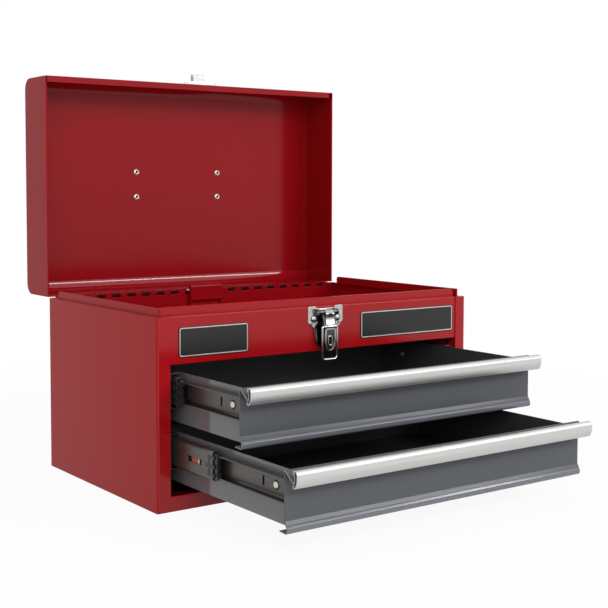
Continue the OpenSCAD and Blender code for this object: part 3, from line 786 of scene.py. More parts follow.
    @staticmethod
    def prism(corners: Sequence[Corner], axis: str, span: Span, rounding: float = 0.0,
              index: int = 0) -> Mesh:
        """Raises an outline into a plate, its faces at the ends of a span of an axis."""
        bm = Workshop.drawn(corners, axis, span[0], True)
        return Workshop.raised(bm, axis, span, rounding, index)

    @staticmethod
    def border(corners: Sequence[Corner], span: Span, width: float, rounding: float,
               segments: int = 2) -> Mesh:
        """Raises a band along the inside of an outline that lies across Y.

        Args:
            corners: the outline.
            span: the band's front and its back.
            width: its width.
            rounding: the rounding of its edges.
            segments: the number of faces across a rounding.

        Returns:
            The band.
        """
        bm = Workshop.drawn(corners, "Y", span[0], True)
        ring = set(bmesh.ops.inset_region(bm, faces=list(bm.faces), thickness=width * MM,
                                          use_even_offset=True, use_boundary=True)["faces"])
        bmesh.ops.delete(bm, geom=[f for f in bm.faces if f not in ring], context="FACES")
        return Workshop.raised(bm, "Y", span, rounding, 0, segments)

    @staticmethod
    def turned(profile: Sequence[Corner], centre: Sequence[float], towards: Sequence[float],
               index: int = 0) -> Mesh:
        """Turns a half profile into a round piece.

        Args:
            profile: radius, height and corner radius of each point.
            centre: the foot of its axis.
            towards: the direction of its axis.
            index: its material index.

        Returns:
            The piece.
        """
        bm = Workshop.drawn(profile, "Y", 0.0, False)
        bmesh.ops.spin(bm, geom=list(bm.verts) + list(bm.edges), cent=(0, 0, 0),
                       axis=(0, 0, 1), angle=2 * math.pi, steps=Workshop.turned_faces,
                       use_merge=True)
        bmesh.ops.remove_doubles(bm, verts=bm.verts, dist=1e-6)
        bmesh.ops.recalc_face_normals(bm, faces=bm.faces)
        turn = AXES["Z"].rotation_difference(Vector(towards)).to_matrix().to_4x4()
        bmesh.ops.transform(bm, verts=bm.verts,
                            matrix=Matrix.Translation(Vector(centre) * MM) @ turn)
        return Workshop.painted(bm, index)


# ---- The object's sub-assemblies, their sizes in millimetres ----


@dataclass
class Cabinet:
    """The red body with its rail, till floor, posts and stop bracket."""

    shop: Workshop
    cut: float = 0.22
    bend: float = 1.2
    side_facing: float = 0.7
    front_facing: float = -0.5
    inside_y: float = 124.0
    fold_from: float = 191.5
    fold: float = 0.8
    panels: tuple[str, ...] = ("bottom_panel", "front_rail")
    inside: tuple[str, ...] = ("till_floor", "stop_bracket", "post_left_front",
                               "post_left_rear", "post_right_front", "post_right_rear")
    wing: tuple[Corner, ...] = ((119.0, 166.0, 0.0), (124.2, 166.0, 0.0),
                                (124.2, 191.6, 1.0), (119.0, 195.0, 0.0))
    wing_x: Span = (21.2, 22.1)
    roll_x: Span = (21.2, 26.4)
    roll_radius: float = 2.35
    window_x: Span = (22.3, 26.7)
    window_z: Span = (187.3, 190.4)
    shade_sheet_y: Span = (123.85, 124.1)

    def build(self) -> None:
        """Dresses the panels, and the rivets of the stop bracket and the rails."""
        for node in self.panels:
            self.shop.softened(node, "cabinet", Finish.RED, self.cut, self.bend)
        # Parts inside the body take the darker red, as painted shade.
        for node in self.inside:
            self.shop.softened(node, "cabinet", Finish.RED_INSIDE, self.cut)
        for node, finish in (("stop_rivets", Finish.RED), ("hinge_pin", Finish.RED),
                             ("cabinet_rail_rivets", Finish.RIVET)):
            self.shop.softened(node, "cabinet", finish)
        self.sides()
        self.back()
        self.stop_ends()

    def sides(self) -> None:
        """Dresses the two sides, their stiles as red as the front."""
        for node in ("side_left", "side_right"):
            bm = Workshop.copy_of(node)
            # Faces that point sideways take the duller copy of the red paint, as painted
            # shade.
            for face in bm.faces:
                if abs(face.normal.x) > self.side_facing:
                    face.material_index = 1
            Workshop.soften(bm, self.cut, self.bend)
            self.shop.dressed(node, [bm], "cabinet", [Finish.RED, Finish.RED_SIDE])

    def back(self) -> None:
        """Dresses the back, with a full round along the fold over the hinge, its inward faces
        in the darker red of painted shade.
        """
        near = 0.05
        bm = Workshop.copy_of("back_panel")
        folds = [e for e in bm.edges if e.is_convex and all(
            abs(v.co.y / MM - self.inside_y) < near and v.co.z / MM > self.fold_from
            for v in e.verts) and abs(e.verts[0].co.z - e.verts[1].co.z) < near * MM]
        for face in bm.faces:
            if face.normal.y < self.front_facing:
                face.material_index = 1
        Workshop.round_off(bm, folds, self.fold, 4)
        Workshop.soften(bm, self.cut)
        self.shop.dressed("back_panel", [bm], "cabinet", [Finish.RED, Finish.RED_INSIDE])

    def stop_ends(self) -> None:
        """Closes the stop bracket's ends, and puts a thin dark sheet of painted shade in each
        short hinge window beside it.
        """
        radius, length = self.roll_radius, self.roll_x[1] - self.roll_x[0]
        profile = [(0.0, 0.0, 0.0), (radius, 0.0, 0.4), (radius, length, 0.4),
                   (0.0, length, 0.0)]
        parts = []
        for side in (-1, 1):
            foot = (beside(side, self.roll_x)[0], HINGE_Y, HINGE_Z)
            # A dark red sheet of painted shade stands in each window.
            window = oblong(beside(side, self.window_x), self.window_z, 0.5)
            parts += [Workshop.prism(self.wing, "X", beside(side, self.wing_x), 0.2),
                      Workshop.turned(profile, foot, (1, 0, 0)),
                      Workshop.prism(window, "Y", self.shade_sheet_y, index=1)]
        self.shop.finish("stop_bracket_ends_and_window_shades", Workshop.merged(parts), "cabinet",
                         [Finish.RED_INSIDE, Finish.RED_SHADE])


@dataclass
class NamePlate:
    """A bare plate on the front rail with a thin raised silver border."""

    shop: Workshop
    node: str
    radius: float = 2.6
    inset: float = 0.9
    border: float = 0.9
    rise: float = 0.3

    def build(self) -> None:
        """Makes the plate and its border."""
        low, high = (Vector(c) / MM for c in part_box(self.node))
        plate = Workshop.prism(self.outline(low, high, 0.0), "Y", (low.y, high.y), 0.2)
        self.shop.dressed(self.node, [plate], "cabinet", [Finish.PLATE])
        band = Workshop.border(self.outline(low, high, self.inset),
                               (low.y - self.rise, low.y + 0.1), self.border, 0.1)
        self.shop.finish(f"{self.node}_border", band, "cabinet", [Finish.PLATE_EDGE])

    def outline(self, low: Vector, high: Vector, inset: float) -> list[Corner]:
        """Draws the plate's outline between two corners, set in by an inset."""
        return oblong((low.x + inset, high.x - inset), (low.z + inset, high.z - inset),
                      self.radius - inset / 2)


@dataclass
class Lid:
    """The lid's shell and ends, its keeper, brackets and rivets, and the handle."""

    shop: Workshop
    knuckle_reach: float = 2.9
    knuckle_top: float = 2.2
    bend_height: float = 20.0
    level: float = 0.05
    slant: float = 0.02
    tab_end: tuple[Corner, ...] = ((130.15, 190.7, 0.2), (131.3, 190.7, 0.2),
                                   (131.3, 192.7, 0.0), (130.15, 192.7, 0.0))
    tab_end_x: Span = (20.5, 26.6)
    outer_y: float = 190.0
    inner_y: float = 187.5
    handle_x: float = 58.5
    handle_z: Span = (305.35, 336.05)
    curl: tuple[Corner, ...] = ((1.4, 0.0, 0.0), (1.4, 1.0, 0.4), (2.3, 1.5, 0.5),
                                (3.6, 0.7, 0.4), (3.9, 0.0, 0.0), (1.4, 0.0, 0.0))
    bore: tuple[Corner, ...] = ((0.0, 0.0, 0.0), (1.5, 0.0, 0.0), (1.5, 0.3, 0.0),
                                (0.0, 0.1, 0.0))
    keeper_x: float = 16.0
    keeper_y: float = 137.0
    keeper_z: float = 442.5
    lip: tuple[Corner, ...] = ((131.0, 3.0, 0.0), (130.6, 0.6, 0.9), (133.4, 0.6, 0.0))
    lip_x: Span = (-16.5, 16.5)
    lip_thickness: float = 0.9

    def build(self) -> None:
        """Dresses the lid."""
        self.shell()
        for side in ("left", "right"):
            # The lid's ends take the darker copy of the red paint, as painted shade.
            self.shop.softened(f"lid_end_{side}", "lid", Finish.RED_LID, 0.3)
            self.shop.softened(f"handle_bracket_{side}", "lid", Finish.NICKEL, 0.3)
        self.handle_rivets()
        self.tab_ends()
        self.keeper()
        self.shop.softened("handle_bail", "bail", Finish.NICKEL, 0.3)
        self.shop.softened("handle_grip", "bail", Finish.GRIP, 1.0, segments=3)

    def shell(self) -> None:
        """Dresses the shell, dark on its knuckles as painted shade, and bright in its lower
        bend.
        """
        bm = Workshop.copy_of("lid_shell")
        for face in bm.faces:
            spot = face.calc_center_median() / MM
            away = math.hypot(spot.y - HINGE_Y, spot.z - HINGE_Z)
            slope = abs(face.normal.y * face.normal.z)
            slants = abs(face.normal.x) < self.level and slope > self.slant
            # Faces round the hinge pin take the dark red of painted shade.
            if away < self.knuckle_reach and spot.z < HINGE_Z + self.knuckle_top:
                face.material_index = 1
            elif slants and spot.z < HINGE_Z + self.bend_height:
                face.material_index = 2
        Workshop.soften(bm, 0.22, 1.0)
        self.shop.dressed("lid_shell", [bm], "lid",
                          [Finish.RED_INSIDE, Finish.RED_SHADE, Finish.RED_BEND])

    def tab_ends(self) -> None:
        """Turns the wall's edge down on both sides of the stop tab, in the dark red of
        painted shade.
        """
        parts = [Workshop.prism(self.tab_end, "X", beside(side, self.tab_end_x), 0.1)
                 for side in (-1, 1)]
        self.shop.finish("lid_tab_shade_strips", Workshop.merged(parts), "lid", [Finish.RED_SHADE])

    def handle_rivets(self) -> None:
        """Makes the hollow rivets, domed outside and curled open inside."""
        parts = []
        for x in (-self.handle_x, self.handle_x):
            for z in self.handle_z:
                inner = (x, self.inner_y, z)
                # The bore's floor is a dark disc of painted shade.
                parts += [Workshop.turned(dome(4.5, 2.0), (x, self.outer_y, z), (0, 1, 0)),
                          Workshop.turned(self.curl, inner, (0, -1, 0)),
                          Workshop.turned(self.bore, inner, (0, -1, 0), 1)]
        self.shop.dressed("handle_rivets", parts, "lid", [Finish.RIVET, Finish.HOLE])

    def keeper(self) -> None:
        """Dresses the latch keeper on the lid's rim, with its rivets, the keeper in the pale
        nickel of a painted highlight.
        """
        body = Workshop.soften(Workshop.copy_of("lid_keeper"), 0.3, 0.9)
        lip = Workshop.sheet(moved(self.lip, 0.0, self.keeper_z), self.lip_x,
                             self.lip_thickness)
        self.shop.dressed("lid_keeper", [body, Workshop.soften(lip, 0.2)], "lid",
                          [Finish.NICKEL_PALE])
        parts = []
        for x in (-self.keeper_x, self.keeper_x):
            for head, rise, towards in ((dome(3.2, 1.4), 1.2, 1), (dome(2.8, 1.0), -1.0, -1)):
                place = (x, self.keeper_y, self.keeper_z + rise)
                parts.append(Workshop.turned(head, place, (0, 0, towards)))
        self.shop.dressed("keeper_rivets", parts, "lid", [Finish.RIVET])


@dataclass
class Latch:
    """The latch on the front rail: plate, rivets, lever and wire loop.

    Outlines of the plate are measured from the rail's top, and those of the lever from
    its pivot.
    """

    shop: Workshop
    top: float = 192.0
    rivet_x: float = 15.5
    rivet_z: float = 179.0
    pivot_y: float = -129.5
    pivot_z: float = 186.0
    eye_y: float = -132.5
    eye_z: float = 170.65
    notch: tuple[Corner, ...] = ((-13.0, 0.0, 0.8), (-11.6, -2.4, 0.5), (11.6, -2.4, 0.5),
                                 (13.0, 0.0, 0.8))
    plate_half: tuple[Corner, ...] = ((22.9, 0.0, 1.6), (22.9, -16.5, 1.5),
                                      (19.6, -20.2, 2.0), (14.9, -23.0, 3.0),
                                      (13.4, -36.0, 6.0), (11.0, -41.5, 3.0),
                                      (6.0, -45.0, 2.0))
    rib_top: tuple[Corner, ...] = ((-21.4, -16.2, 0.8), (-15.6, -19.8, 1.2),
                                   (-10.5, -16.2, 0.8), (10.5, -16.2, 0.8),
                                   (15.6, -19.8, 1.2), (21.4, -16.2, 0.8))
    rib_half: tuple[Corner, ...] = ((18.8, -20.2, 1.5), (14.0, -23.4, 2.5),
                                    (12.6, -36.0, 5.0), (10.4, -41.0, 2.5),
                                    (5.6, -44.2, 1.5))
    plate_y: Span = (FRONT_Y, FRONT_Y + 1.0)
    rib_y: Span = (FRONT_Y - 1.0, FRONT_Y + 0.3)
    rib_width: float = 1.2
    hollow_y: Span = (FRONT_Y - 0.15, FRONT_Y + 0.2)
    ear_root: float = FRONT_Y + 0.5
    ear_x: Span = (11.5, 12.7)
    ear_reach: float = 2.7
    ear_radius: float = 2.6
    ear_foot: Span = (-4.5, 3.4)
    tongue: tuple[Corner, ...] = ((2.0, -1.2, 0.0), (2.6, 2.0, 1.6), (-1.6, 2.6, 2.2),
                                  (-4.3, -1.6, 1.5), (-3.4, -7.0, 6.0), (-5.2, -13.0, 3.0),
                                  (-4.9, -17.0, 0.0))
    tongue_x: Span = (-5.4, 5.4)
    tongue_thickness: float = 1.1
    cheek: tuple[Corner, ...] = ((-1.2, -1.6, 0.0), (-2.6, -8.0, 5.0))
    cheek_x: Span = (-7.9, 7.9)
    cheek_thickness: float = 1.0
    slit_x: Span = (-2.6, 2.6)
    slit_z: Span = (-2.9, -1.3)
    knuckles: tuple[Span, ...] = ((-11.2, -5.6), (5.6, 11.2))
    eyes: tuple[Span, ...] = ((-7.9, -5.0), (-4.6, 4.6), (5.0, 7.9))
    flap_length: float = 26.2
    rim_width: float = 1.5
    ring_width: float = 1.15

    def build(self) -> None:
        """Dresses the latch."""
        self.plate()
        self.rivets()
        self.lever()
        self.shop.softened("latch_pin", "cabinet", Finish.NICKEL, 0.3)
        self.shop.softened("latch_loop", "loop", Finish.NICKEL, 0.2)

    def plate(self) -> None:
        """Makes the plate with its ears, and the rib folded up along its foot; the ears and
        the plate inside the rib take the darker nickel of painted shade.
        """
        outline = moved([*self.notch, *both_sides(self.plate_half)], 0.0, self.top)
        base = Workshop.prism(outline, "Y", self.plate_y, 0.3)
        tip, root = self.pivot_y - self.ear_reach, self.ear_root
        ear = [(tip, self.pivot_z - self.ear_reach, self.ear_radius),
               (root, self.pivot_z + self.ear_foot[0], 0.0),
               (root, self.pivot_z + self.ear_foot[1], 0.0),
               (tip, self.pivot_z + self.ear_reach, self.ear_radius)]
        ears = [Workshop.prism(ear, "X", beside(side, self.ear_x), 0.25, 1)
                for side in (-1, 1)]
        line = moved([*self.rib_top, *both_sides(self.rib_half)], 0.0, self.top)
        rib = Workshop.border(line, self.rib_y, self.rib_width, 0.35)
        # The plate inside the rib is darker nickel, painted shade.
        hollow = Workshop.prism([(x * 0.93, z + 0.4, r) for x, z, r in line], "Y",
                                self.hollow_y, index=1)
        self.shop.dressed("latch_plate", [base, rib, hollow, *ears], "cabinet",
                          [Finish.NICKEL, Finish.NICKEL_SHADE])

    def rivets(self) -> None:
        """Makes the two domed rivets, each in a shaded dish."""
        parts = []
        for x in (-self.rivet_x, self.rivet_x):
            place, behind = ((x, y, self.rivet_z) for y in (FRONT_Y, FRONT_Y + 2.0))
            parts += [Workshop.turned(dome(3.2, 1.9), place, (0, -1, 0)),
                      Workshop.turned(dome(2.8, 1.0), behind, (0, 1, 0)),
                      Workshop.turned(dish(4.3, 4.0, 0.18), place, (0, -1, 0), 1)]
        self.shop.dressed("latch_rivets", parts, "cabinet",
                          [Finish.NICKEL, Finish.NICKEL_SHADE])

    def lever(self) -> None:
        """Makes the lever: rolled knuckles, a hollow tongue, the eye and the finger flap."""
        y, z = self.pivot_y, self.pivot_z
        # The rolled knuckles and the cheeks take the darker nickel, as painted shade.
        parts = [Workshop.turned(tube(1.6, 2.6, span, 0.5), (span[0], y, z), (1, 0, 0), 1)
                 for span in self.knuckles]
        parts += [Workshop.turned(tube(1.35, 2.4, span, 0.4),
                                  (span[0], self.eye_y, self.eye_z), (1, 0, 0))
                  for span in self.eyes]
        tongue = Workshop.sheet(moved(self.tongue, y, z), self.tongue_x,
                                self.tongue_thickness)
        cheek = [*moved(self.cheek, y, z), (self.eye_y - 1.0, self.eye_z + 1.0, 0.0)]
        cheeks = Workshop.sheet(cheek, self.cheek_x, self.cheek_thickness)
        slit = Workshop.prism(moved(oblong(self.slit_x, self.slit_z, 0.7), 0.0, z), "Y",
                              (y - 4.45, y - 3.2), index=2)
        parts += [Workshop.soften(tongue, 0.35), slit, *self.flap(),
                  Workshop.painted(Workshop.soften(cheeks, 0.3), 1)]
        self.shop.dressed("latch_lever", parts, "lever",
                          [Finish.NICKEL, Finish.NICKEL_SHADE, Finish.HOLE])

    def flap(self) -> list[Mesh]:
        """Makes the finger flap with its beaded rim and its keyhole ring.

        Returns:
            Its parts.
        """
        y, top, foot = self.eye_y, self.eye_z - 1.5, self.eye_z - self.flap_length
        shape = [(-6.6, top, 0.5), (-7.0, foot + 9.0, 6.0), (-5.0, foot + 1.6, 4.2),
                 (0.0, foot - 0.5, 4.0), (5.0, foot + 1.6, 4.2), (7.0, foot + 9.0, 6.0),
                 (6.6, top, 0.5)]
        keyhole = [(-2.9, foot + 16.6, 2.4), (-3.0, foot + 6.0, 2.8),
                   (3.0, foot + 6.0, 2.8), (2.9, foot + 16.6, 2.4)]
        hole = [(u * 0.6, v, radius * 0.5) for u, v, radius in keyhole]
        # The flap's plate takes the darker nickel, and the keyhole a dark plate, both painted
        # shade.
        return [Workshop.prism(shape, "Y", (y - 0.6, y + 0.6), 0.2, 1),
                Workshop.border(shape, (y - 1.7, y + 0.2), self.rim_width, 0.5, 3),
                Workshop.border(keyhole, (y - 1.5, y), self.ring_width, 0.4),
                Workshop.prism(hole, "Y", (y - 0.85, y), index=2)]


@dataclass
class Drawer:
    """One drawer: front, pull trim, box, mat and drawer rails.

    The sections of the front and the trim are measured from the front's plane and the
    pull's top.
    """

    shop: Workshop
    name: str
    out: float
    top: float
    front_section: tuple[Corner, ...] = (
        (-13.5, -1.7, 0.0), (-13.5, -12.4, 1.2), (1.0, -1.5, 1.3), (1.0, -46.8, 3.0),
        (-1.0, -50.6, 0.7), (-1.5, -51.4, 0.4), (-2.5, -53.0, 0.8), (-2.5, -57.1, 1.9),
        (8.0, -56.3, 0.0))
    trim_section: tuple[Corner, ...] = (
        (-12.2, -4.6, 0.0), (-12.2, -0.7, 1.2), (-16.6, -0.7, 1.7), (-18.5, -3.4, 3.0),
        (-18.5, -9.4, 9.0), (-17.2, -13.2, 8.0), (-15.2, -16.2, 1.6), (-12.0, -16.2, 1.2),
        (-12.0, -13.2, 0.0))
    front_x: Span = (-184.0, 184.0)
    front_thickness: float = 1.0
    trim_x: Span = (-184.4, 184.4)
    trim_thickness: float = 0.8
    facing: float = 0.9
    box_half: float = 172.5
    box_skin: float = 0.5
    groove_drop: float = 14.5
    groove_back: float = 1.2
    lip_drop: float = 50.8
    slide_drop: float = 22.7
    rivet_back: Span = (28.0, 193.0)
    slot_back: float = 48.0
    slot_half: Span = (1.4, 4.4)

    @property
    def plane(self) -> float:
        """Gives the place of the front's plane."""
        return FRONT_Y - self.out

    @property
    def body(self) -> str:
        """Gives the drawer's body."""
        return f"{self.name}_drawer"

    def build(self) -> None:
        """Dresses the drawer."""
        self.front()
        self.trim()
        self.box()
        self.shop.softened(f"{self.name}_mat", self.body, Finish.MAT, 0.3)
        for side in ("left", "right"):
            self.shop.rail(f"{self.name}_{side}_drawer_rail", self.body)
        self.rivets()
        self.slots()

    def front(self) -> None:
        """Bends the front: pull flange, finger groove, panel and rolled bottom lip, with
        painted highlights on the groove's ends and the lip.
        """
        bm = Workshop.sheet(moved(self.front_section, self.plane, self.top), self.front_x,
                            self.front_thickness, left=False)
        for face in bm.faces:
            spot = face.calc_center_median() / MM
            at_groove = (spot.y < self.plane + self.groove_back
                         and spot.z > self.top - self.groove_drop)
            # The groove's cut ends take the light grey of a painted highlight.
            if at_groove and abs(face.normal.x) > self.facing:
                face.material_index = 1
            # The lip's faces take the glossier grey, lightened as a painted highlight.
            elif spot.z < self.top - self.lip_drop:
                face.material_index = 2
        Workshop.soften(bm, 0.25)
        self.shop.dressed(f"{self.name}_front", [bm], self.body,
                          [Finish.GREY, Finish.GREY_EDGE, Finish.GREY_BEND])

    def trim(self) -> None:
        """Bends the pull trim: a rounded channel with curled edges."""
        bm = Workshop.sheet(moved(self.trim_section, self.plane, self.top), self.trim_x,
                            self.trim_thickness)
        self.shop.dressed(f"{self.name}_trim", [Workshop.soften(bm, 0.22)], self.body,
                          [Finish.TRIM])

    def box(self) -> None:
        """Makes the box, grey outside in a lighter copy of the grey that is painted light,
        and black inside.
        """
        node = f"{self.name}_box"
        bm = Workshop.copy_of(node)
        low, high = (Vector(c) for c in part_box(node))
        middle = (low + high) / 2
        skin = self.box_skin * MM
        for face in bm.faces:
            spot = face.calc_center_median()
            towards = Vector((middle.x - spot.x, middle.y - spot.y, 0.0))
            inner = min(spot.x - low.x, high.x - spot.x, spot.y - low.y, high.y - spot.y,
                        spot.z - low.z) > skin
            if inner and (face.normal.dot(towards) > 0 or face.normal.z > self.facing):
                face.material_index = 1
        self.shop.dressed(node, [Workshop.soften(bm, 0.25)], self.body,
                          [Finish.BOX_SIDE, Finish.BLACK])

    def rivets(self) -> None:
        """Makes the slide's rivets: domed heads outside in dark rings of painted shade, low
        ones inside.
        """
        parts = []
        for side in (-1, 1):
            for back in self.rivet_back:
                inner, outer = ((side * (self.box_half + out), self.plane + back,
                                 self.top - self.slide_drop) for out in (-1.0, 1.0))
                parts += [Workshop.turned(dome(3.6, 1.7), outer, (side, 0, 0)),
                          Workshop.turned(dome(3.2, 1.0), inner, (-side, 0, 0)),
                          Workshop.turned(dish(4.6, 4.4, 0.2), outer, (side, 0, 0), 1)]
        self.shop.dressed(f"{self.name}_drawer_rivets", parts, self.body,
                          [Finish.RIVET, Finish.HOLE])

    def slots(self) -> None:
        """Puts a thin dark plate of painted shade in the slot behind each front rivet,
        outside and inside the box.
        """
        wide, high = self.slot_half
        outline = moved(oblong((-wide, wide), (-high, high), 1.2),
                        self.plane + self.slot_back, self.top - self.slide_drop)
        half = self.box_half
        parts = [Workshop.prism(outline, "X", beside(side, span)) for side in (-1, 1)
                 for span in ((half, half + 0.3), (half - 1.12, half - 0.9))]
        self.shop.finish(f"{self.name}_slot_shade_plates", Workshop.merged(parts), self.body,
                         [Finish.HOLE])


@dataclass
class Slides:
    """The cabinet rails, the middle rails and the black retainers on their ends.

    The retainer's parts are measured from the middle rail's front end and its centre.
    """

    shop: Workshop
    name: str
    front: float
    centre: float
    web: float = 183.4
    nose: tuple[Corner, ...] = (
        (-6.4, -6.0, 0.8), (-6.4, -11.6, 1.2), (0.4, -12.4, 0.0), (0.4, -7.0, 0.0),
        (-1.6, -6.2, 0.6), (-1.6, 6.2, 0.6), (0.4, 7.0, 0.0), (0.4, 12.4, 0.0),
        (-6.4, 11.6, 1.2), (-6.4, 6.0, 0.8), (-4.2, 4.4, 0.6), (-4.2, -4.4, 0.6))
    clips: tuple[tuple[float, Span], ...] = ((9.0, (-9.6, -6.6)), (12.5, (-1.8, 1.8)),
                                             (9.0, (6.6, 9.6)))
    clip_back: float = -3.0
    stem_y: Span = (5.0, 7.4)
    stem_half: float = 9.4
    slot_y: Span = (19.0, 46.0)
    slot_half: float = 3.4
    tongue_y: Span = (26.0, 38.0)
    pin_y: Span = (24.4, 25.8)
    tongue_half: float = 2.3

    def build(self) -> None:
        """Dresses both slides of a drawer."""
        body = f"{self.name}_middle_rails"
        for side in ("left", "right"):
            stem = f"{self.name}_{side}"
            self.shop.rail(f"{stem}_cabinet_rail", "cabinet")
            self.shop.rail(f"{stem}_middle_rail", body)
            self.shop.softened(f"{stem}_ball_cage", body, Finish.CAGE, 0.15)
            self.retainer(side, body)

    def part(self, corners: Sequence[Corner], depth: Span, rounding: float,
             index: int = 0) -> Mesh:
        """Makes one part of a retainer.

        Args:
            corners: its outline.
            depth: its inner and outer face, from the rail's web.
            rounding: the rounding of its edges, or 0 where they stay sharp.
            index: its material index.

        Returns:
            The part.
        """
        span = (self.web + depth[0], self.web + depth[1])
        return Workshop.prism(moved(corners, self.front, self.centre), "X", span, rounding,
                              index)

    def retainer(self, side: str, body: str) -> None:
        """Makes the stepped black retainer on a middle rail's front end, and its tongue.

        Args:
            side: left or right.
            body: the middle rails' body.
        """
        flat, stem, slot = ((-half, half) for half in (self.tongue_half, self.stem_half,
                                                       self.slot_half))
        parts = [self.part(self.nose, (-6.5, -1.6), 0.25)]
        for reach, height in self.clips:
            clip = [(self.clip_back, height[0], 0.5), (reach, height[0], 0.7),
                    (reach, height[1], 0.7), (self.clip_back, height[1], 0.5)]
            parts.append(self.part(clip, (-2.0, 0.35), 0.2))
        parts += [self.part(oblong(self.stem_y, stem, 0.4), (-0.4, 0.3), 0.15),
                  # The slot is a dark plate of painted shade.
                  self.part(oblong(self.slot_y, slot), (-1.35, -1.0), 0.0, 1),
                  self.part(oblong(self.tongue_y, flat, 0.3), (-1.1, -0.35), 0.15, 2),
                  self.part(oblong(self.pin_y, flat, 0.5), (-1.1, -0.2), 0.2, 3)]
        bm = Workshop.merged(parts)
        if side == "left":
            Workshop.mirrored(bm)
        self.shop.finish(f"{self.name}_{side}_retainer", bm, body,
                         [Finish.CAGE, Finish.HOLE, Finish.RED, Finish.RIVET])


# ---- Camera, floor and light, in metres ----


@dataclass(frozen=True)
class Lamp:
    """One soft lamp, its long side level."""

    name: str
    place: Corner
    aim: Corner
    size: Span
    power: float

    def hang(self) -> None:
        """Hangs the lamp in its place, facing its aim."""
        light = bpy.data.lights.new(self.name, "AREA")
        light.shape = "RECTANGLE"
        light.size, light.size_y = self.size
        light.energy = self.power
        towards = Vector(self.aim) - Vector(self.place)
        turn = towards.to_track_quat("-Z", "Y").to_matrix().to_4x4()
        stand(self.name, light).matrix_world = Matrix.Translation(self.place) @ turn


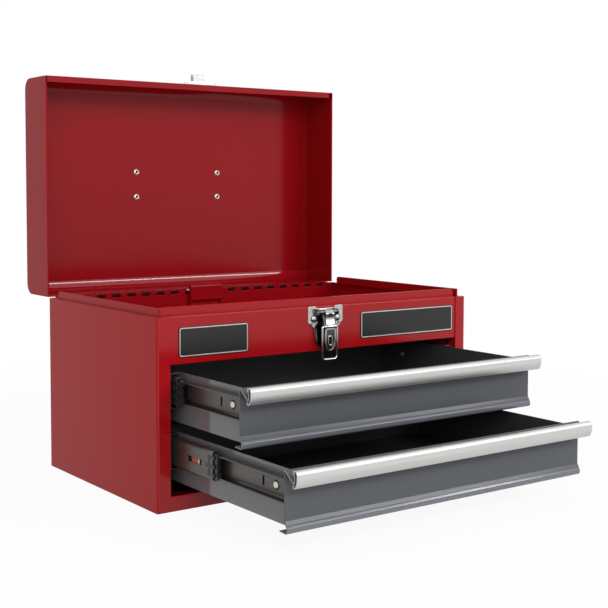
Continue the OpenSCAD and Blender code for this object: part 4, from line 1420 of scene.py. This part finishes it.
@dataclass
class Studio:
    """The camera of the picture, a pale floor and soft lamps."""

    place: Corner = (-0.74803, -1.11855, 0.31612)
    yaw: float = math.radians(35.919)
    pitch: float = math.radians(3.424)
    roll: float = math.radians(-0.123)
    focal_pixels: float = 1177.4
    picture: float = 608.0
    down_pixels: float = -45.0
    sensor: float = 36.0
    ambient: float = 0.55
    far: float = 50.0
    floor_size: float = 12.0
    floor_tone: float = 0.92
    floor_roughness: float = 0.9
    floor_specular: float = 0.1
    floor_glow: float = 0.93
    shadow_reach: Span = (0.45, 1.1)
    lamps: tuple[Lamp, ...] = (
        Lamp("key", (-0.7, -2.4, 1.9), (0.0, -0.05, 0.2), (1.2, 1.2), 16.0),
        Lamp("fill", (-1.4, -2.0, 0.95), (0.05, -0.1, 0.12), (1.0, 1.0), 9.0),
        Lamp("strip", (1.25, -2.2, 1.25), (-0.05, 0.15, 0.24), (1.8, 0.45), 28.0),
        Lamp("rim", (-0.5, 1.9, 1.6), (-0.1, 0.0, 0.2), (0.9, 0.5), 8.0),
    )

    def build(self) -> None:
        """Sets the studio up."""
        self.camera()
        self.floor()
        self.world()
        for lamp in self.lamps:
            lamp.hang()
        bpy.context.scene.view_settings.view_transform = "Standard"

    def camera(self) -> None:
        """Places the camera of the picture."""
        cy, sy = math.cos(self.yaw), math.sin(self.yaw)
        cp, sp = math.cos(self.pitch), math.sin(self.pitch)
        ahead = Vector((sy * cp, cy * cp, -sp))
        right = Vector((cy, -sy, 0.0))
        down = ahead.cross(right)
        cr, sr = math.cos(self.roll), math.sin(self.roll)
        turned_right = right * cr + down * sr
        turned_down = down * cr - right * sr
        lens = bpy.data.cameras.new("picture camera")
        lens.sensor_width = self.sensor
        lens.lens = self.focal_pixels / self.picture * self.sensor
        lens.shift_y = self.down_pixels / self.picture
        lens.clip_end = self.far
        holder = stand("picture camera", lens)
        turn = Matrix((turned_right, -turned_down, -ahead)).transposed().to_4x4()
        holder.matrix_world = Matrix.Translation(self.place) @ turn
        bpy.context.scene.camera = holder

    def floor(self) -> None:
        """Lays the pale floor, which keeps the object's shadow near it."""
        bm = bmesh.new()
        bmesh.ops.create_grid(bm, x_segments=1, y_segments=1, size=self.floor_size)
        mesh = bpy.data.meshes.new("floor")
        bm.to_mesh(mesh)
        bm.free()
        material = bpy.data.materials.new("pale floor")
        material.use_nodes = True
        wiring = Wiring(material.node_tree)
        shader = wiring.first("BSDF_PRINCIPLED")
        shader.inputs["Base Color"].default_value = (*(self.floor_tone,) * 3, 1.0)
        shader.inputs["Roughness"].default_value = self.floor_roughness
        shader.inputs["Specular IOR Level"].default_value = self.floor_specular
        glow = wiring.add("Emission", {"Strength": 1.0})
        place = wiring.add("TexCoord")
        away = wiring.add("VectorMath", operation="LENGTH")
        near, far = self.shadow_reach
        fade = wiring.add("MapRange", {"From Min": near, "From Max": far,
                                       "To Min": self.floor_glow, "To Max": 1.0},
                          interpolation_type="SMOOTHSTEP")
        share = wiring.add("Math", operation="MULTIPLY")
        mix = wiring.add("MixShader")
        wiring.join((place, "Object", away, 0), (away, "Value", fade, "Value"),
                    (wiring.seen(), 0, share, 0), (fade, "Result", share, 1),
                    (share, 0, mix, 0), (shader, 0, mix, 1), (glow, 0, mix, 2),
                    (mix, 0, wiring.first("OUTPUT_MATERIAL"), "Surface"))
        mesh.materials.append(material)
        stand("floor", mesh)

    def world(self) -> None:
        """Gives the even light from all round, white where it is seen or mirrored."""
        world = bpy.data.worlds.new("studio")
        bpy.context.scene.world = world
        world.use_nodes = True
        world.node_tree.nodes.clear()
        wiring = Wiring(world.node_tree)
        white = (1.0, 1.0, 1.0, 1.0)
        light = wiring.add("Background", {"Color": white, "Strength": self.ambient})
        view = wiring.add("Background", {"Color": white, "Strength": 1.0})
        mix = wiring.add("MixShader")
        wiring.join((wiring.seen(), 0, mix, 0), (light, 0, mix, 1), (view, 0, mix, 2),
                    (mix, 0, wiring.add("OutputWorld"), "Surface"))


def main() -> None:
    """Builds the tool box and the studio."""
    shop = Workshop(Palette())
    builders: list[Callable[[], None]] = [
        Studio().build,
        Cabinet(shop).build,
        NamePlate(shop, "name_plate_left").build,
        NamePlate(shop, "name_plate_right").build,
        Lid(shop).build,
        Latch(shop).build,
        Drawer(shop, "upper", 118.0, 141.0).build,
        Drawer(shop, "lower", 188.0, 81.0).build,
        Slides(shop, "upper", -128.0, 118.3).build,
        Slides(shop, "lower", -195.0, 58.3).build,
    ]
    for build in builders:
        build()


if __name__ == "__main__":
    main()
